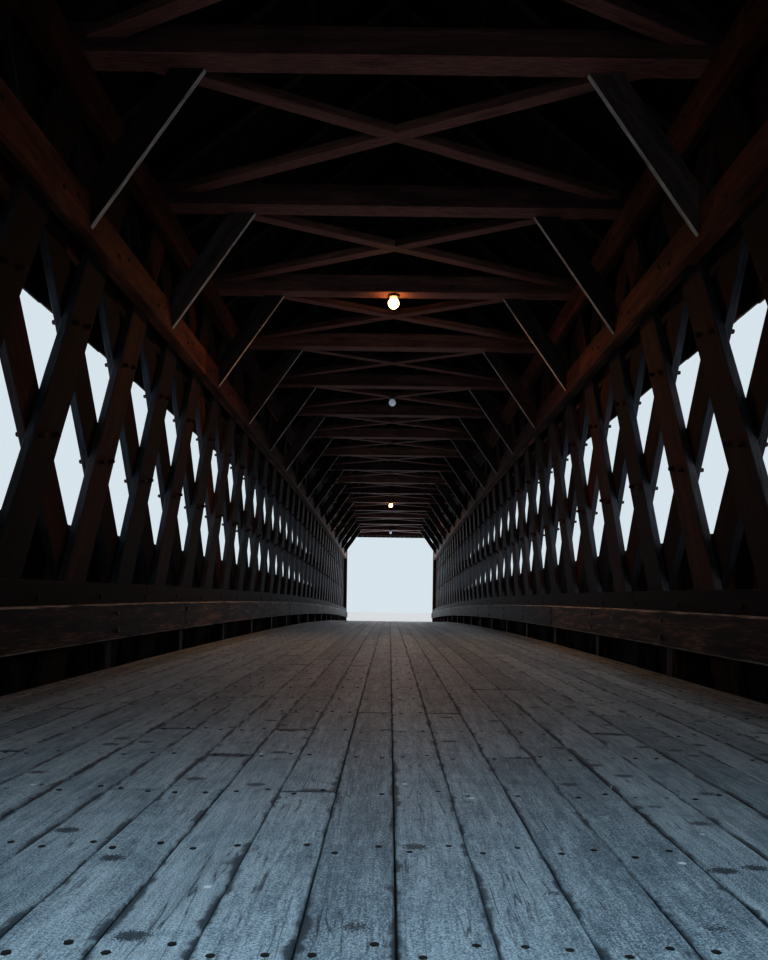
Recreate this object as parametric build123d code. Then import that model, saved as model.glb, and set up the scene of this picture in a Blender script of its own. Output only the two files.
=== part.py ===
"""Timber covered bridge with plank lattice trusses, as a half-size model.

All sizes are millimetres of the model, half of the real bridge. X runs across
the roadway, Y along it and Z up. The origin is at the middle of the bridge, on
the level on which the bed timbers rest. Heights named LEVEL are measured from
the top of the deck at the ends of the bridge.
"""
import math
import os

from build123d import *

# Overall layout
PANELS = 40
PANEL = 610.0
BAY_PANELS = 2
CLEAR_HALF_WIDTH = 1250.0
CAMBER = 170.0
KINK_PANELS = 3

# Truss: rows where the planks cross, planks, chords and posts
CROSSING_ROWS = 6
ROW_RISE = 529.0
CHORD_ROWS = {"bottom": 0, "lower_middle": 1, "upper_middle": 4, "top": 5}
CHORD_THICKNESS = 75.0
CHORD_DEPTH = 160.0
PLANK_THICKNESS = 37.5
PLANK_WIDTH = 190.0
PLANK_SET_BACK = 8.0
CROSSING_LIFT = 115.0
CROSSING_SHIFT = -165.0
SMALLEST_PLANK_SHARE = 0.1
END_POST_WIDTH = 90.0

# Overhead frame
TIE_WIDTH = 115.0
TIE_DEPTH = 120.0
KNEE_THICKNESS = 30.0
KNEE_DEPTH = 118.0
KNEE_RUN = 390.0
KNEE_RISE = 555.0
BRACE_WIDTH = 70.0
BRACE_DEPTH = 45.0
BRACE_RISE = 60.0

# Roof
PITCH = 0.79
RAFTER_HEEL = 10.0
RAFTER_THICKNESS = 50.0
RAFTER_PLUMB_DEPTH = 96.0
RAFTER_OVERHANG = 150.0
EAVE_PLATE_DEPTH = 50.0
SHEATHING_PLUMB_DEPTH = 19.0
COVERING_PLUMB_DEPTH = 13.0
COVERING_OVERHANG = 20.0
GABLE_OVERHANG = 320.0
RIDGE_CAP_WIDTH = 130.0
RIDGE_CAP_PLUMB_DEPTH = 12.0

# Roadway
FLOOR_BEAM_WIDTH = 100.0
FLOOR_BEAM_DEPTH = 110.0
UNDERLAYER_DEPTH = 20.0
DECK_DEPTH = 20.0
DECK_EDGE_GAP = 2.0
RAIL_THICKNESS = 40.0
RAIL_BOTTOM_LEVEL = 130.0
RAIL_DEPTH = 157.0
RAIL_POST_WIDTH = 70.0
RAIL_POST_SPACING_PANELS = 2

# Siding and portals
SIDING_THICKNESS = 13.0
SIDING_DROP = 20.0
LOWER_SIDING_TOP_LEVEL = 645.0
UPPER_SIDING_BOTTOM_LEVEL = 1545.0
SIDING_EAVE_GAP = 14.0
PORTAL_THICKNESS = 16.0
PORTAL_REVEAL = 14.0
PORTAL_HEAD_DROP = 55.0

# Bearings and lower bracing
BED_DEPTH = 150.0
BED_WIDTH = 150.0
BED_SPACING = 300.0
BED_END_GAP = 15.0
BEDS_PER_END = 2
LOWER_BRACE_WIDTH = 80.0
LOWER_BRACE_DEPTH = 60.0

# Lamps, under the tie beams and at the crossings of the braces with these numbers
LAMP_PLACES = {"ties": (6, 15, 19), "crossings": (8,)}
LAMP_BASE_RADIUS = 42.0
LAMP_BASE_DEPTH = 20.0
LAMP_GLOBE_RADIUS = 38.0
LAMP_NECK_RADIUS = 26.0
LAMP_GLOBE_DEPTH = 76.0

# Places that follow from the sizes above
HALF_LENGTH = PANELS * PANEL / 2
TRUSS_END = HALF_LENGTH + TIE_WIDTH / 2
LATTICE_INSIDE = CLEAR_HALF_WIDTH + CHORD_THICKNESS
LATTICE_MIDDLE = LATTICE_INSIDE + PLANK_THICKNESS
LATTICE_OUTSIDE = LATTICE_MIDDLE + PLANK_THICKNESS
CHORD_OUTSIDE = LATTICE_OUTSIDE + CHORD_THICKNESS
SIDING_OUTSIDE = CHORD_OUTSIDE + SIDING_THICKNESS
UNDERLAYER_LEVEL = -DECK_DEPTH - UNDERLAYER_DEPTH
BEAM_BOTTOM_LEVEL = UNDERLAYER_LEVEL - FLOOR_BEAM_DEPTH
FIRST_ROW_LEVEL = BEAM_BOTTOM_LEVEL - CHORD_DEPTH / 2
CHORD_BOTTOM_LEVEL = BEAM_BOTTOM_LEVEL - CHORD_DEPTH
TOP_ROW_LEVEL = FIRST_ROW_LEVEL + (CROSSING_ROWS - 1) * ROW_RISE
TIE_LEVEL = TOP_ROW_LEVEL + CHORD_DEPTH / 2
LOWER_MIDDLE_LEVEL = FIRST_ROW_LEVEL + CHORD_ROWS["lower_middle"] * ROW_RISE
RIDGE_LEVEL = TIE_LEVEL + RAFTER_HEEL + PITCH * CHORD_OUTSIDE
END_DECK_Z = BED_DEPTH - CHORD_BOTTOM_LEVEL
PLANK_SLOPE = ROW_RISE / (PANEL / 2)
ROOF_HALF_WIDTH = CHORD_OUTSIDE + RAFTER_OVERHANG
ROOF_END = TRUSS_END + PORTAL_THICKNESS + GABLE_OVERHANG
SIDES = {"left": -1, "right": 1}
ENDS = (-1, 1)


def parabola(y):
    """Rise of the arched bridge at y above its ends."""
    return CAMBER * (1 - (y / HALF_LENGTH) ** 2)


KINKS = [(panel + 0.5) * PANEL - HALF_LENGTH for panel in range(0, PANELS, KINK_PANELS)]
STATIONS = [-ROOF_END, *KINKS, ROOF_END]


def arch(y):
    """Rise at y on straight stretches that meet half-way between panel points."""
    for start, end in zip(STATIONS, STATIONS[1:]):
        if y <= end:
            share = (y - start) / (end - start)
            return parabola(start) * (1 - share) + parabola(end) * share
    return parabola(ROOF_END)


def height(y, level):
    """Z of a level that follows the arch at y."""
    return END_DECK_Z + level + arch(y)


def panel_point(index):
    """Y of a panel point, counted from the near end."""
    return index * PANEL - HALF_LENGTH


def prism(points, direction):
    """Solid made by carrying a flat outline along a direction."""
    return Solid.extrude(Face(Wire.make_polygon(points)), direction)


def side_outline(x, y0, y1, low, high):
    """Outline seen from the side, with a lower and an upper edge that follow the arch."""
    stops = [y0, *[kink for kink in KINKS if y0 < kink < y1], y1]
    lower = [(x, y, height(y, low)) for y in stops]
    upper = [(x, y, height(y, high)) for y in reversed(stops)]
    return lower + upper


def bar(x0, x1, y0, y1, low, high, drop=0.0):
    """Timber between two sides x0 and x1 that follows the arch, and drops from x0 to x1."""
    return prism(side_outline(x0, y0, y1, low, high), (x1 - x0, 0, -drop))


def cross_profile(outline, y0, y1):
    """Piece with an outline of x and level seen along the bridge, within one straight stretch."""
    points = [(x, y0, height(y0, level)) for x, level in outline]
    return prism(points, (0, y1 - y0, arch(y1) - arch(y0)))


def roof_slab(side, y0, y1, low, high, half_width):
    """Slab that falls from the ridge to the eaves at the roof's pitch."""
    return bar(0, side * half_width, y0, y1, low, high, PITCH * half_width)


def roof_level(x):
    """Level of the underside of the rafters at a distance x from the ridge."""
    return RIDGE_LEVEL - PITCH * abs(x)


def save(name, solids):
    """Write the solids of one named piece."""
    shape = solids[0] if len(solids) == 1 else Compound(children=solids)
    export_step(shape, f"parts/{name}.step")


def plank_y(foot, lean, level):
    """Y of a lattice plank's centre line at a level; planks cross a little above the chords' middle."""
    return foot + lean * (level - FIRST_ROW_LEVEL - CROSSING_LIFT) / PLANK_SLOPE


def lattice_plank(x0, foot, lean):
    """One leaning plank, cut level at its foot and head."""
    half_cut = PLANK_WIDTH / 2 * math.hypot(1, PLANK_SLOPE) / PLANK_SLOPE
    low = CHORD_BOTTOM_LEVEL + PLANK_SET_BACK
    high = TIE_LEVEL - PLANK_SET_BACK
    foot_y = plank_y(foot, lean, low)
    head_y = plank_y(foot, lean, high)
    foot_z = height(foot_y, low)
    head_z = height(head_y, high)
    points = [
        (x0, foot_y - half_cut, foot_z),
        (x0, foot_y + half_cut, foot_z),
        (x0, head_y + half_cut, head_z),
        (x0, head_y - half_cut, head_z),
    ]
    return prism(points, (PLANK_THICKNESS, 0, 0))


def lattice_layer(x0, lean):
    """All planks of one layer, the outermost ones cut off at the end posts."""
    clear = TRUSS_END - END_POST_WIDTH
    tall = 2 * (TIE_LEVEL + END_DECK_Z)
    between_posts = Box(8 * CLEAR_HALF_WIDTH, 2 * clear, 2 * tall)
    # Planks with a foot beyond one end reach in only with their heads
    outside = CROSSING_ROWS // 2
    planks = []
    for index in range(-outside, PANELS + 1):
        foot = -lean * HALF_LENGTH + lean * index * PANEL + CROSSING_SHIFT
        plank = lattice_plank(x0, foot, lean)
        box = plank.bounding_box()
        if box.max.Y < -clear or box.min.Y > clear:
            continue
        if box.min.Y < -clear or box.max.Y > clear:
            whole = plank.volume
            plank = (plank & between_posts).solids()[0]
            if plank.volume < SMALLEST_PLANK_SHARE * whole:
                continue
        planks.append(plank)
    return planks


def lattices():
    """Two layers of planks on each side, lying face to face and leaning opposite ways."""
    for name, side in SIDES.items():
        inner_x = LATTICE_INSIDE if side > 0 else -LATTICE_MIDDLE
        outer_x = LATTICE_MIDDLE if side > 0 else -LATTICE_OUTSIDE
        save(f"lattice_inner_{name}", lattice_layer(inner_x, 1))
        save(f"lattice_outer_{name}", lattice_layer(outer_x, -1))


def chords():
    """Paired timbers that clamp the lattice from inside and outside at four rows."""
    for chord, row in CHORD_ROWS.items():
        middle = FIRST_ROW_LEVEL + row * ROW_RISE
        low = middle - CHORD_DEPTH / 2
        high = middle + CHORD_DEPTH / 2
        for name, side in SIDES.items():
            inner = bar(side * CLEAR_HALF_WIDTH, side * LATTICE_INSIDE, -TRUSS_END, TRUSS_END, low, high)
            outer = bar(side * LATTICE_OUTSIDE, side * CHORD_OUTSIDE, -TRUSS_END, TRUSS_END, low, high)
            save(f"{chord}_chord_{name}", [inner, outer])


def end_posts():
    """Posts that close the lattice at each end, between the bed timbers and the end tie beam."""
    posts = []
    for end in ENDS:
        y0, y1 = sorted((end * TRUSS_END, end * (TRUSS_END - END_POST_WIDTH)))
        for side in SIDES.values():
            x0 = side * LATTICE_INSIDE
            x1 = side * LATTICE_OUTSIDE
            posts.append(bar(x0, x1, y0, y1, CHORD_BOTTOM_LEVEL, TIE_LEVEL))
    save("end_posts", posts)


def tie_stations():
    """Y of the tie beams, one at every second panel point."""
    return [panel_point(index) for index in range(0, PANELS + 1, BAY_PANELS)]


def tie_beam(y):
    """Cross timber on the top chords, its upper corners bevelled to the rafters."""
    y0 = y - TIE_WIDTH / 2
    y1 = y + TIE_WIDTH / 2
    top = TIE_LEVEL + TIE_DEPTH
    bevel_start = (RIDGE_LEVEL - top) / PITCH
    right = [
        (LATTICE_OUTSIDE, TIE_LEVEL),
        (LATTICE_OUTSIDE, roof_level(LATTICE_OUTSIDE)),
        (bevel_start, top),
    ]
    left = [(-x, level) for x, level in reversed(right)]
    return cross_profile(right + left, y0, y1)


def knee_brace(side, y):
    """Slanting plank from the upper middle chord to the tie beam, flush with the beam's far face."""
    length = math.hypot(KNEE_RUN, KNEE_RISE)
    half_head = KNEE_DEPTH / 2 * length / KNEE_RISE
    half_foot = KNEE_DEPTH / 2 * length / KNEE_RUN
    head_x = CLEAR_HALF_WIDTH - KNEE_RUN
    foot_level = TIE_LEVEL - KNEE_RISE
    outline = [
        (side * CLEAR_HALF_WIDTH, foot_level - half_foot),
        (side * CLEAR_HALF_WIDTH, foot_level + half_foot),
        (side * (head_x + half_head), TIE_LEVEL),
        (side * (head_x - half_head), TIE_LEVEL),
    ]
    far_face = y + TIE_WIDTH / 2
    return cross_profile(outline, far_face - KNEE_THICKNESS, far_face)


def level_diagonal(x0, x1, y0, y1, cut, low, depth):
    """Flat diagonal bar seen in plan, from x0 at y0 to x1 at y1, with ends cut across the bridge."""
    z0 = height(y0, low)
    z1 = height(y1, low)
    points = [
        (x0 - cut / 2, y0, z0),
        (x0 + cut / 2, y0, z0),
        (x1 + cut / 2, y1, z1),
        (x1 - cut / 2, y1, z1),
    ]
    return prism(points, (0, 0, depth))


def overhead_braces():
    """Crossed braces between the tie beams: one in one piece, the other in two halves."""
    through = []
    halves = []
    gap = BAY_PANELS * PANEL - TIE_WIDTH
    for number, y in enumerate(tie_stations()[:-1]):
        y0 = y + TIE_WIDTH / 2
        y1 = y0 + gap
        # A bar cut across the bridge is wider in plan than square to its own length
        reach = CLEAR_HALF_WIDTH - BRACE_WIDTH * 1.5
        cut = BRACE_WIDTH * math.hypot(2 * reach, gap) / gap
        reach = CLEAR_HALF_WIDTH - cut / 2
        lean = 1 if number % 2 else -1
        low = TIE_LEVEL + BRACE_RISE
        whole = level_diagonal(-lean * reach, lean * reach, y0, y1, cut, low, BRACE_DEPTH)
        other = level_diagonal(lean * reach, -lean * reach, y0, y1, cut, low, BRACE_DEPTH)
        through.append(whole)
        halves.extend((other - whole).solids())
    return through, halves


def overhead_frame():
    """Tie beams, knee braces and the crossed braces between the ties."""
    save("tie_beams", [tie_beam(y) for y in tie_stations()])
    for name, side in SIDES.items():
        save(f"knee_braces_{name}", [knee_brace(side, y) for y in tie_stations()[1:-1]])
    through, halves = overhead_braces()
    save("overhead_braces_through", through)
    save("overhead_braces_halved", halves)


def eave_plate(side):
    """Timber along the outer top chord that carries the feet of the rafters."""
    x0 = side * LATTICE_OUTSIDE
    x1 = side * CHORD_OUTSIDE
    return bar(x0, x1, -TRUSS_END, TRUSS_END, TIE_LEVEL, TIE_LEVEL + EAVE_PLATE_DEPTH)


def rafter(side, y):
    """Rafter cut plumb at the ridge and notched over the eave plate."""
    y0 = y - RAFTER_THICKNESS / 2
    y1 = y + RAFTER_THICKNESS / 2
    whole = roof_slab(side, y0, y1, RIDGE_LEVEL, RIDGE_LEVEL + RAFTER_PLUMB_DEPTH, ROOF_HALF_WIDTH)
    notch = bar(side * LATTICE_OUTSIDE, side * CHORD_OUTSIDE, y0, y1, TIE_LEVEL, TIE_LEVEL + EAVE_PLATE_DEPTH)
    return (whole - notch).solids()[0]


def rafter_stations():
    """Y of the rafters: one at every panel point, the outermost ones flush with the truss ends."""
    last = TRUSS_END - RAFTER_THICKNESS / 2
    between = [panel_point(index) for index in range(1, PANELS)]
    return [-last, *between, last]


def roof():
    """Rafters on their plates, the sheathing, the covering and the ridge cap."""
    sheathing_low = RIDGE_LEVEL + RAFTER_PLUMB_DEPTH
    covering_low = sheathing_low + SHEATHING_PLUMB_DEPTH
    cap_low = covering_low + COVERING_PLUMB_DEPTH
    covering_width = ROOF_HALF_WIDTH + COVERING_OVERHANG
    for name, side in SIDES.items():
        save(f"eave_plate_{name}", [eave_plate(side)])
        save(f"rafters_{name}", [rafter(side, y) for y in rafter_stations()])
        sheathing = roof_slab(side, -ROOF_END, ROOF_END, sheathing_low, covering_low, ROOF_HALF_WIDTH)
        covering = roof_slab(side, -ROOF_END, ROOF_END, covering_low, cap_low, covering_width)
        save(f"roof_sheathing_{name}", [sheathing])
        save(f"roof_covering_{name}", [covering])
    wings = [
        roof_slab(side, -ROOF_END, ROOF_END, cap_low, cap_low + RIDGE_CAP_PLUMB_DEPTH, RIDGE_CAP_WIDTH)
        for side in SIDES.values()
    ]
    save("ridge_cap", (wings[0] + wings[1]).solids())


def floor():
    """Floor beams through the lattice and between its ends, a cross layer and the running planks."""
    beams = []
    for index in range(PANELS):
        y0 = panel_point(index + 0.5) + CROSSING_SHIFT - FLOOR_BEAM_WIDTH / 2
        y1 = y0 + FLOOR_BEAM_WIDTH
        beams.append(bar(-CHORD_OUTSIDE, CHORD_OUTSIDE, y0, y1, BEAM_BOTTOM_LEVEL, UNDERLAYER_LEVEL))
    for end in ENDS:
        y0, y1 = sorted((end * TRUSS_END, end * (TRUSS_END - FLOOR_BEAM_WIDTH)))
        beams.append(bar(-LATTICE_INSIDE, LATTICE_INSIDE, y0, y1, BEAM_BOTTOM_LEVEL, UNDERLAYER_LEVEL))
    save("floor_beams", beams)
    half = CLEAR_HALF_WIDTH - DECK_EDGE_GAP
    save("deck_underlayer", [bar(-half, half, -TRUSS_END, TRUSS_END, UNDERLAYER_LEVEL, -DECK_DEPTH)])
    save("deck_planks", [bar(-half, half, -TRUSS_END, TRUSS_END, -DECK_DEPTH, 0)])


def guard_rails():
    """Heavy rails bolted to the lower middle chords, with short posts under those chords."""
    post_top = LOWER_MIDDLE_LEVEL - CHORD_DEPTH / 2
    for name, side in SIDES.items():
        inner = side * (CLEAR_HALF_WIDTH - RAIL_THICKNESS)
        face = side * CLEAR_HALF_WIDTH
        rail_top = RAIL_BOTTOM_LEVEL + RAIL_DEPTH
        save(f"guard_rail_{name}", [bar(inner, face, -TRUSS_END, TRUSS_END, RAIL_BOTTOM_LEVEL, rail_top)])
        posts = []
        for index in range(0, PANELS, RAIL_POST_SPACING_PANELS):
            middle = panel_point(index + 0.5)
            y0 = middle - RAIL_POST_WIDTH / 2
            y1 = middle + RAIL_POST_WIDTH / 2
            posts.append(bar(face, side * LATTICE_INSIDE, y0, y1, UNDERLAYER_LEVEL, post_top))
        save(f"rail_posts_{name}", posts)


def siding():
    """Boarding on the outer chords, in a lower and an upper band with an open strip between."""
    bottom = CHORD_BOTTOM_LEVEL - SIDING_DROP
    top = roof_level(SIDING_OUTSIDE) - SIDING_EAVE_GAP
    for name, side in SIDES.items():
        x0 = side * CHORD_OUTSIDE
        x1 = side * SIDING_OUTSIDE
        lower = bar(x0, x1, -TRUSS_END, TRUSS_END, bottom, LOWER_SIDING_TOP_LEVEL)
        upper = bar(x0, x1, -TRUSS_END, TRUSS_END, UPPER_SIDING_BOTTOM_LEVEL, top)
        save(f"siding_lower_{name}", [lower])
        save(f"siding_upper_{name}", [upper])


def portals():
    """Boarded end walls: jambs beside the roadway and a gable over it, up to the sheathing."""
    head = TIE_LEVEL - PORTAL_HEAD_DROP
    half_opening = CLEAR_HALF_WIDTH - PORTAL_REVEAL
    eave = roof_level(SIDING_OUTSIDE) + RAFTER_PLUMB_DEPTH
    gable = [
        (-SIDING_OUTSIDE, head),
        (SIDING_OUTSIDE, head),
        (SIDING_OUTSIDE, eave),
        (0, RIDGE_LEVEL + RAFTER_PLUMB_DEPTH),
        (-SIDING_OUTSIDE, eave),
    ]
    jambs = []
    gables = []
    for end in ENDS:
        y0, y1 = sorted((end * TRUSS_END, end * (TRUSS_END + PORTAL_THICKNESS)))
        gables.append(cross_profile(gable, y0, y1))
        for side in SIDES.values():
            jambs.append(bar(side * half_opening, side * SIDING_OUTSIDE, y0, y1, CHORD_BOTTOM_LEVEL, head))
    save("portal_jambs", jambs)
    save("portal_gables", gables)


def bed_timbers():
    """Cross timbers under the ends of the bottom chords, on which the bridge rests."""
    beds = []
    x = CHORD_OUTSIDE - BED_END_GAP
    for end in ENDS:
        for number in range(BEDS_PER_END):
            outer = end * (TRUSS_END - number * BED_SPACING)
            y0, y1 = sorted((outer, outer - end * BED_WIDTH))
            points = [
                (-x, y0, 0),
                (-x, y1, 0),
                (-x, y1, height(y1, CHORD_BOTTOM_LEVEL)),
                (-x, y0, height(y0, CHORD_BOTTOM_LEVEL)),
            ]
            beds.append(prism(points, (2 * x, 0, 0)))
    save("bed_timbers", beds)


def lower_brace(y0, y1, lean):
    """Diagonal between the bottom chords, cut along their inner faces."""
    run = y1 - y0
    cut = LOWER_BRACE_WIDTH * math.hypot(2 * CLEAR_HALF_WIDTH, run) / (2 * CLEAR_HALF_WIDTH)
    low = FIRST_ROW_LEVEL - LOWER_BRACE_DEPTH / 2
    x = lean * CLEAR_HALF_WIDTH
    z0 = height(y0, low)
    z1 = height(y1, low)
    slope = (z1 - z0) / run
    points = [
        (-x, y0, z0),
        (-x, y0 + cut, z0 + slope * cut),
        (x, y1, z1),
        (x, y1 - cut, z1 - slope * cut),
    ]
    return prism(points, (0, 0, LOWER_BRACE_DEPTH))


def lower_braces():
    """Crossed braces between the bottom chords, halved into each other."""
    crosses = []
    for y in tie_stations()[:-1]:
        y0 = y + LOWER_BRACE_WIDTH
        y1 = y + BAY_PANELS * PANEL - LOWER_BRACE_WIDTH
        crosses.extend((lower_brace(y0, y1, 1) + lower_brace(y0, y1, -1)).solids())
    save("lower_braces", crosses)


def lamp_base(y, seat, carriers):
    """Round base cut to the underside of the timbers that carry it."""
    align = (Align.CENTER, Align.CENTER, Align.MIN)
    base = Pos(0, y, seat - LAMP_BASE_DEPTH) * Cylinder(LAMP_BASE_RADIUS, 2 * LAMP_BASE_DEPTH, align=align)
    for carrier in carriers:
        base = (base - carrier).solids().sort_by(Axis.Z)[0]
    return base


def lamp_globe(y, seat):
    """Glass globe below a lamp base, wider than its neck."""
    top = seat - LAMP_BASE_DEPTH
    bottom = top - LAMP_GLOBE_DEPTH
    shoulder = top - (LAMP_GLOBE_RADIUS - LAMP_NECK_RADIUS)
    outline = [
        (0, top),
        (LAMP_NECK_RADIUS, top),
        (LAMP_GLOBE_RADIUS, shoulder),
        (LAMP_GLOBE_RADIUS, (shoulder + bottom) / 2),
        (LAMP_NECK_RADIUS, bottom),
        (0, bottom),
    ]
    face = Face(Wire.make_polygon([(x, 0, z) for x, z in outline]))
    return Pos(0, y, 0) * Solid.revolve(face, 360, Axis.Z)


def lamps():
    """Round lamp bases under the overhead frame, each with a hanging glass globe."""
    through, halves = overhead_braces()
    bases = []
    globes = []
    for number in LAMP_PLACES["ties"]:
        y = tie_stations()[number]
        seat = height(y, TIE_LEVEL)
        bases.append(lamp_base(y, seat, [tie_beam(y)]))
        globes.append(lamp_globe(y, seat))
    for number in LAMP_PLACES["crossings"]:
        y = tie_stations()[number] + BAY_PANELS * PANEL / 2
        seat = height(y, TIE_LEVEL + BRACE_RISE)
        crossing = [through[number], halves[2 * number], halves[2 * number + 1]]
        bases.append(lamp_base(y, seat, crossing))
        globes.append(lamp_globe(y, seat))
    save("lamp_bases", bases)
    save("lamp_globes", globes)


os.makedirs("parts", exist_ok=True)
lattices()
chords()
end_posts()
overhead_frame()
roof()
floor()
guard_rails()
siding()
portals()
bed_timbers()
lower_braces()
lamps()
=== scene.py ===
# %% [markdown]
# # Dressing a covered bridge
# A covered bridge is a timber tube: two lattice walls, a plank deck, and a roof that keeps
# them dry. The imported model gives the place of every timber. This lesson gives each one its
# sawn edges, its joints and its aged surface, and sets the camera low above the deck, a few
# steps inside the near end. Lengths are metres of the half-size model.

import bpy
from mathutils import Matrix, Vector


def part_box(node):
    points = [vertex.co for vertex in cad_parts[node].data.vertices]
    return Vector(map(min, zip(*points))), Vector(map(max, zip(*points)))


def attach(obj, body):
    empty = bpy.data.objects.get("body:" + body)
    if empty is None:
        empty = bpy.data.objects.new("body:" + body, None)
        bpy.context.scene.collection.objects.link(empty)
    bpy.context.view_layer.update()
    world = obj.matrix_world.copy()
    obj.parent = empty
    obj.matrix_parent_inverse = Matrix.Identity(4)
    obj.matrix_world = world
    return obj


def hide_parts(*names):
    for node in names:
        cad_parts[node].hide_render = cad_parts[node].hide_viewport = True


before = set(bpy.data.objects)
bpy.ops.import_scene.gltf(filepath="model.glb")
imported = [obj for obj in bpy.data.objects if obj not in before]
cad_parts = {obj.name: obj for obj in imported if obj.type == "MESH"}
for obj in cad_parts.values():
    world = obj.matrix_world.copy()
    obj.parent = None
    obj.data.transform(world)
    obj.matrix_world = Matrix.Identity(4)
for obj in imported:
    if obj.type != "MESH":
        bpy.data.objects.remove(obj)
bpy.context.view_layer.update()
print("nodes in the frame:", len(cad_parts))

# %% Libraries for numbers and meshes
import functools
import math

import bpy
import numpy as np

scene = bpy.context.scene
print("shapes are worked out with numpy", np.__version__)

# %% [markdown]
# ## Reading the frame
# The bridge is arched, so a height means little by itself. Every member keeps its level above
# the deck instead. The ridge line gives the arch beyond both ends, and the deck gives the
# height from which levels are counted. Both are read off the frame, so nothing is measured twice.


# %% Corner points and spans of the nodes
def cad_points(node):
    """Corner points of one node, as rows of x, y and z."""
    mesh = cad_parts[node].data
    points = np.empty(len(mesh.vertices) * 3, np.float32)
    mesh.vertices.foreach_get("co", points)
    return points.reshape(-1, 3).astype(float)


def span(node, axis):
    """Lowest and highest coordinate of a node along one axis."""
    low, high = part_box(node)
    return low[axis], high[axis]


print("half width of the deck:", round(span("deck_planks", 0)[1], 3))

# %% The arch
ridge = cad_points("ridge_cap")
ridge = ridge[np.abs(ridge[:, 0]) < 1e-4]
arch_y = np.unique(ridge[:, 1].round(4))
arch_z = np.array([ridge[np.abs(ridge[:, 1] - y) < 1e-3, 2].max() for y in arch_y])
TRUSS_END = span("deck_planks", 1)[1]
deck_points = cad_points("deck_planks")
deck_end_z = deck_points[np.abs(deck_points[:, 1] - TRUSS_END) < 1e-3, 2].max()
ridge_above_deck = np.interp(TRUSS_END, arch_y, arch_z) - deck_end_z


def deck_z(y):
    """Height of the top of the deck at y: the ridge line, lowered by a constant."""
    return np.interp(y, arch_y, arch_z) - ridge_above_deck


def line(x, y, level):
    """Points at x and y and at a level above the deck, from arrays broadcast to one shape."""
    x, y, level = np.broadcast_arrays(x, y, level)
    return np.stack([x, y, deck_z(y) + level], -1)


def levels(node):
    """Lowest and highest level of a node above the deck at the same y."""
    points = cad_points(node)
    level = points[:, 2] - deck_z(points[:, 1])
    return level.min(), level.max()


print("stretches of the arch:", len(arch_y) - 1, "rise:", round(float(deck_z(0) - deck_end_z), 3))

# %% Driving dimensions
PANEL = 0.61
PANELS = 40
BAY_PANELS = 2
HALF_LENGTH = PANELS * PANEL / 2
ROWS = 6
INNER_FACE, LATTICE_INSIDE = span("bottom_chord_right", 0)[0], span("lattice_inner_right", 0)[0]
LATTICE_MIDDLE, LATTICE_OUTSIDE = span("lattice_outer_right", 0)
CHORD_OUTSIDE = span("bottom_chord_right", 0)[1]
SIDING_OUTSIDE = span("siding_lower_right", 0)[1]
FIRST_ROW = sum(levels("bottom_chord_right")) / 2
ROW_RISE = (sum(levels("top_chord_right")) / 2 - FIRST_ROW) / (ROWS - 1)
TIE_LEVEL = levels("tie_beams")[0]
SIDES = {"left": -1, "right": 1}
panel_y = np.arange(PANELS + 1) * PANEL - HALF_LENGTH
tie_y = panel_y[::BAY_PANELS]
print("crossing rows are", round(ROW_RISE, 3), "m apart; ties stand at level", round(TIE_LEVEL, 3))

# %% [markdown]
# ## The camera
# The view is low, level and almost on the centre line. The picture's horizon lies well below
# its middle, which a shifted lens gives without tilting the posts. A slight roll lowers the
# right side, as a hand-held camera does.

# %% Camera
CAMERA_Y = -10.534
CAMERA_ABOVE_DECK = 0.353
CAMERA_ROLL = 0.0135
FOCAL_PIXELS = 790
HORIZON_PIXEL = 608.5
CENTRE_PIXEL = 389.5
PICTURE_WIDTH = 768
PICTURE_HEIGHT = 960


def placed(name, data):
    """A new object with this data, in the scene."""
    made = bpy.data.objects.new(name, data)
    scene.collection.objects.link(made)
    return made


lens = bpy.data.cameras.new("roadway_camera")
lens.lens = 36 * FOCAL_PIXELS / PICTURE_HEIGHT
lens.sensor_width = 36
lens.shift_x = (PICTURE_WIDTH / 2 - CENTRE_PIXEL) / PICTURE_HEIGHT
lens.shift_y = (HORIZON_PIXEL - PICTURE_HEIGHT / 2) / PICTURE_HEIGHT
lens.clip_end = 400
camera = placed("roadway_camera", lens)
camera.location = (0, CAMERA_Y, deck_z(CAMERA_Y) + CAMERA_ABOVE_DECK)
camera.rotation_euler = (math.pi / 2, -CAMERA_ROLL, 0)
scene.camera = camera
scene.view_settings.view_transform = "Standard"
print("camera height:", round(camera.location.z, 3))

# %% [markdown]
# ## Colours and nodes
# Colours are written as a painter's hex values. The renderer works with linear light, so one
# function turns the one into the other, by the sRGB curve. One more function adds a node, and
# tells a link from a plain value by itself.


# %% One function for colours and one for nodes
def linear(code):
    """Linear colour of an sRGB hex value: c / 12.92 in the toe, else ((c + 0.055) / 1.055) ** 2.4."""
    shares = [int(code[i : i + 2], 16) / 255 for i in (1, 3, 5)]
    return (*[c / 12.92 if c <= 0.04045 else ((c + 0.055) / 1.055) ** 2.4 for c in shares], 1.0)


def add_node(tree, kind, sockets=None, **settings):
    """Adds a shader node with its properties. A socket is linked, and so is a node.

    From a node the first output is taken that its properties leave switched on.
    """
    made = tree.nodes.new("ShaderNode" + kind)
    for key, value in settings.items():
        setattr(made, key, value)
    for key, value in (sockets or {}).items():
        if isinstance(value, bpy.types.Node):
            value = next(output for output in value.outputs if output.enabled)
        if isinstance(value, bpy.types.NodeSocket):
            tree.links.new(value, made.inputs[key])
        else:
            made.inputs[key].default_value = value
    return made


def adder(owner):
    """Empties the nodes of a material or a world and gives the function that adds new ones."""
    owner.use_nodes = True
    owner.node_tree.nodes.clear()
    return functools.partial(add_node, owner.node_tree)


def new_material(name):
    """A material without nodes, and its function that adds one."""
    material = bpy.data.materials.new(name)
    print("material:", name)
    return material, adder(material)


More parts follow.
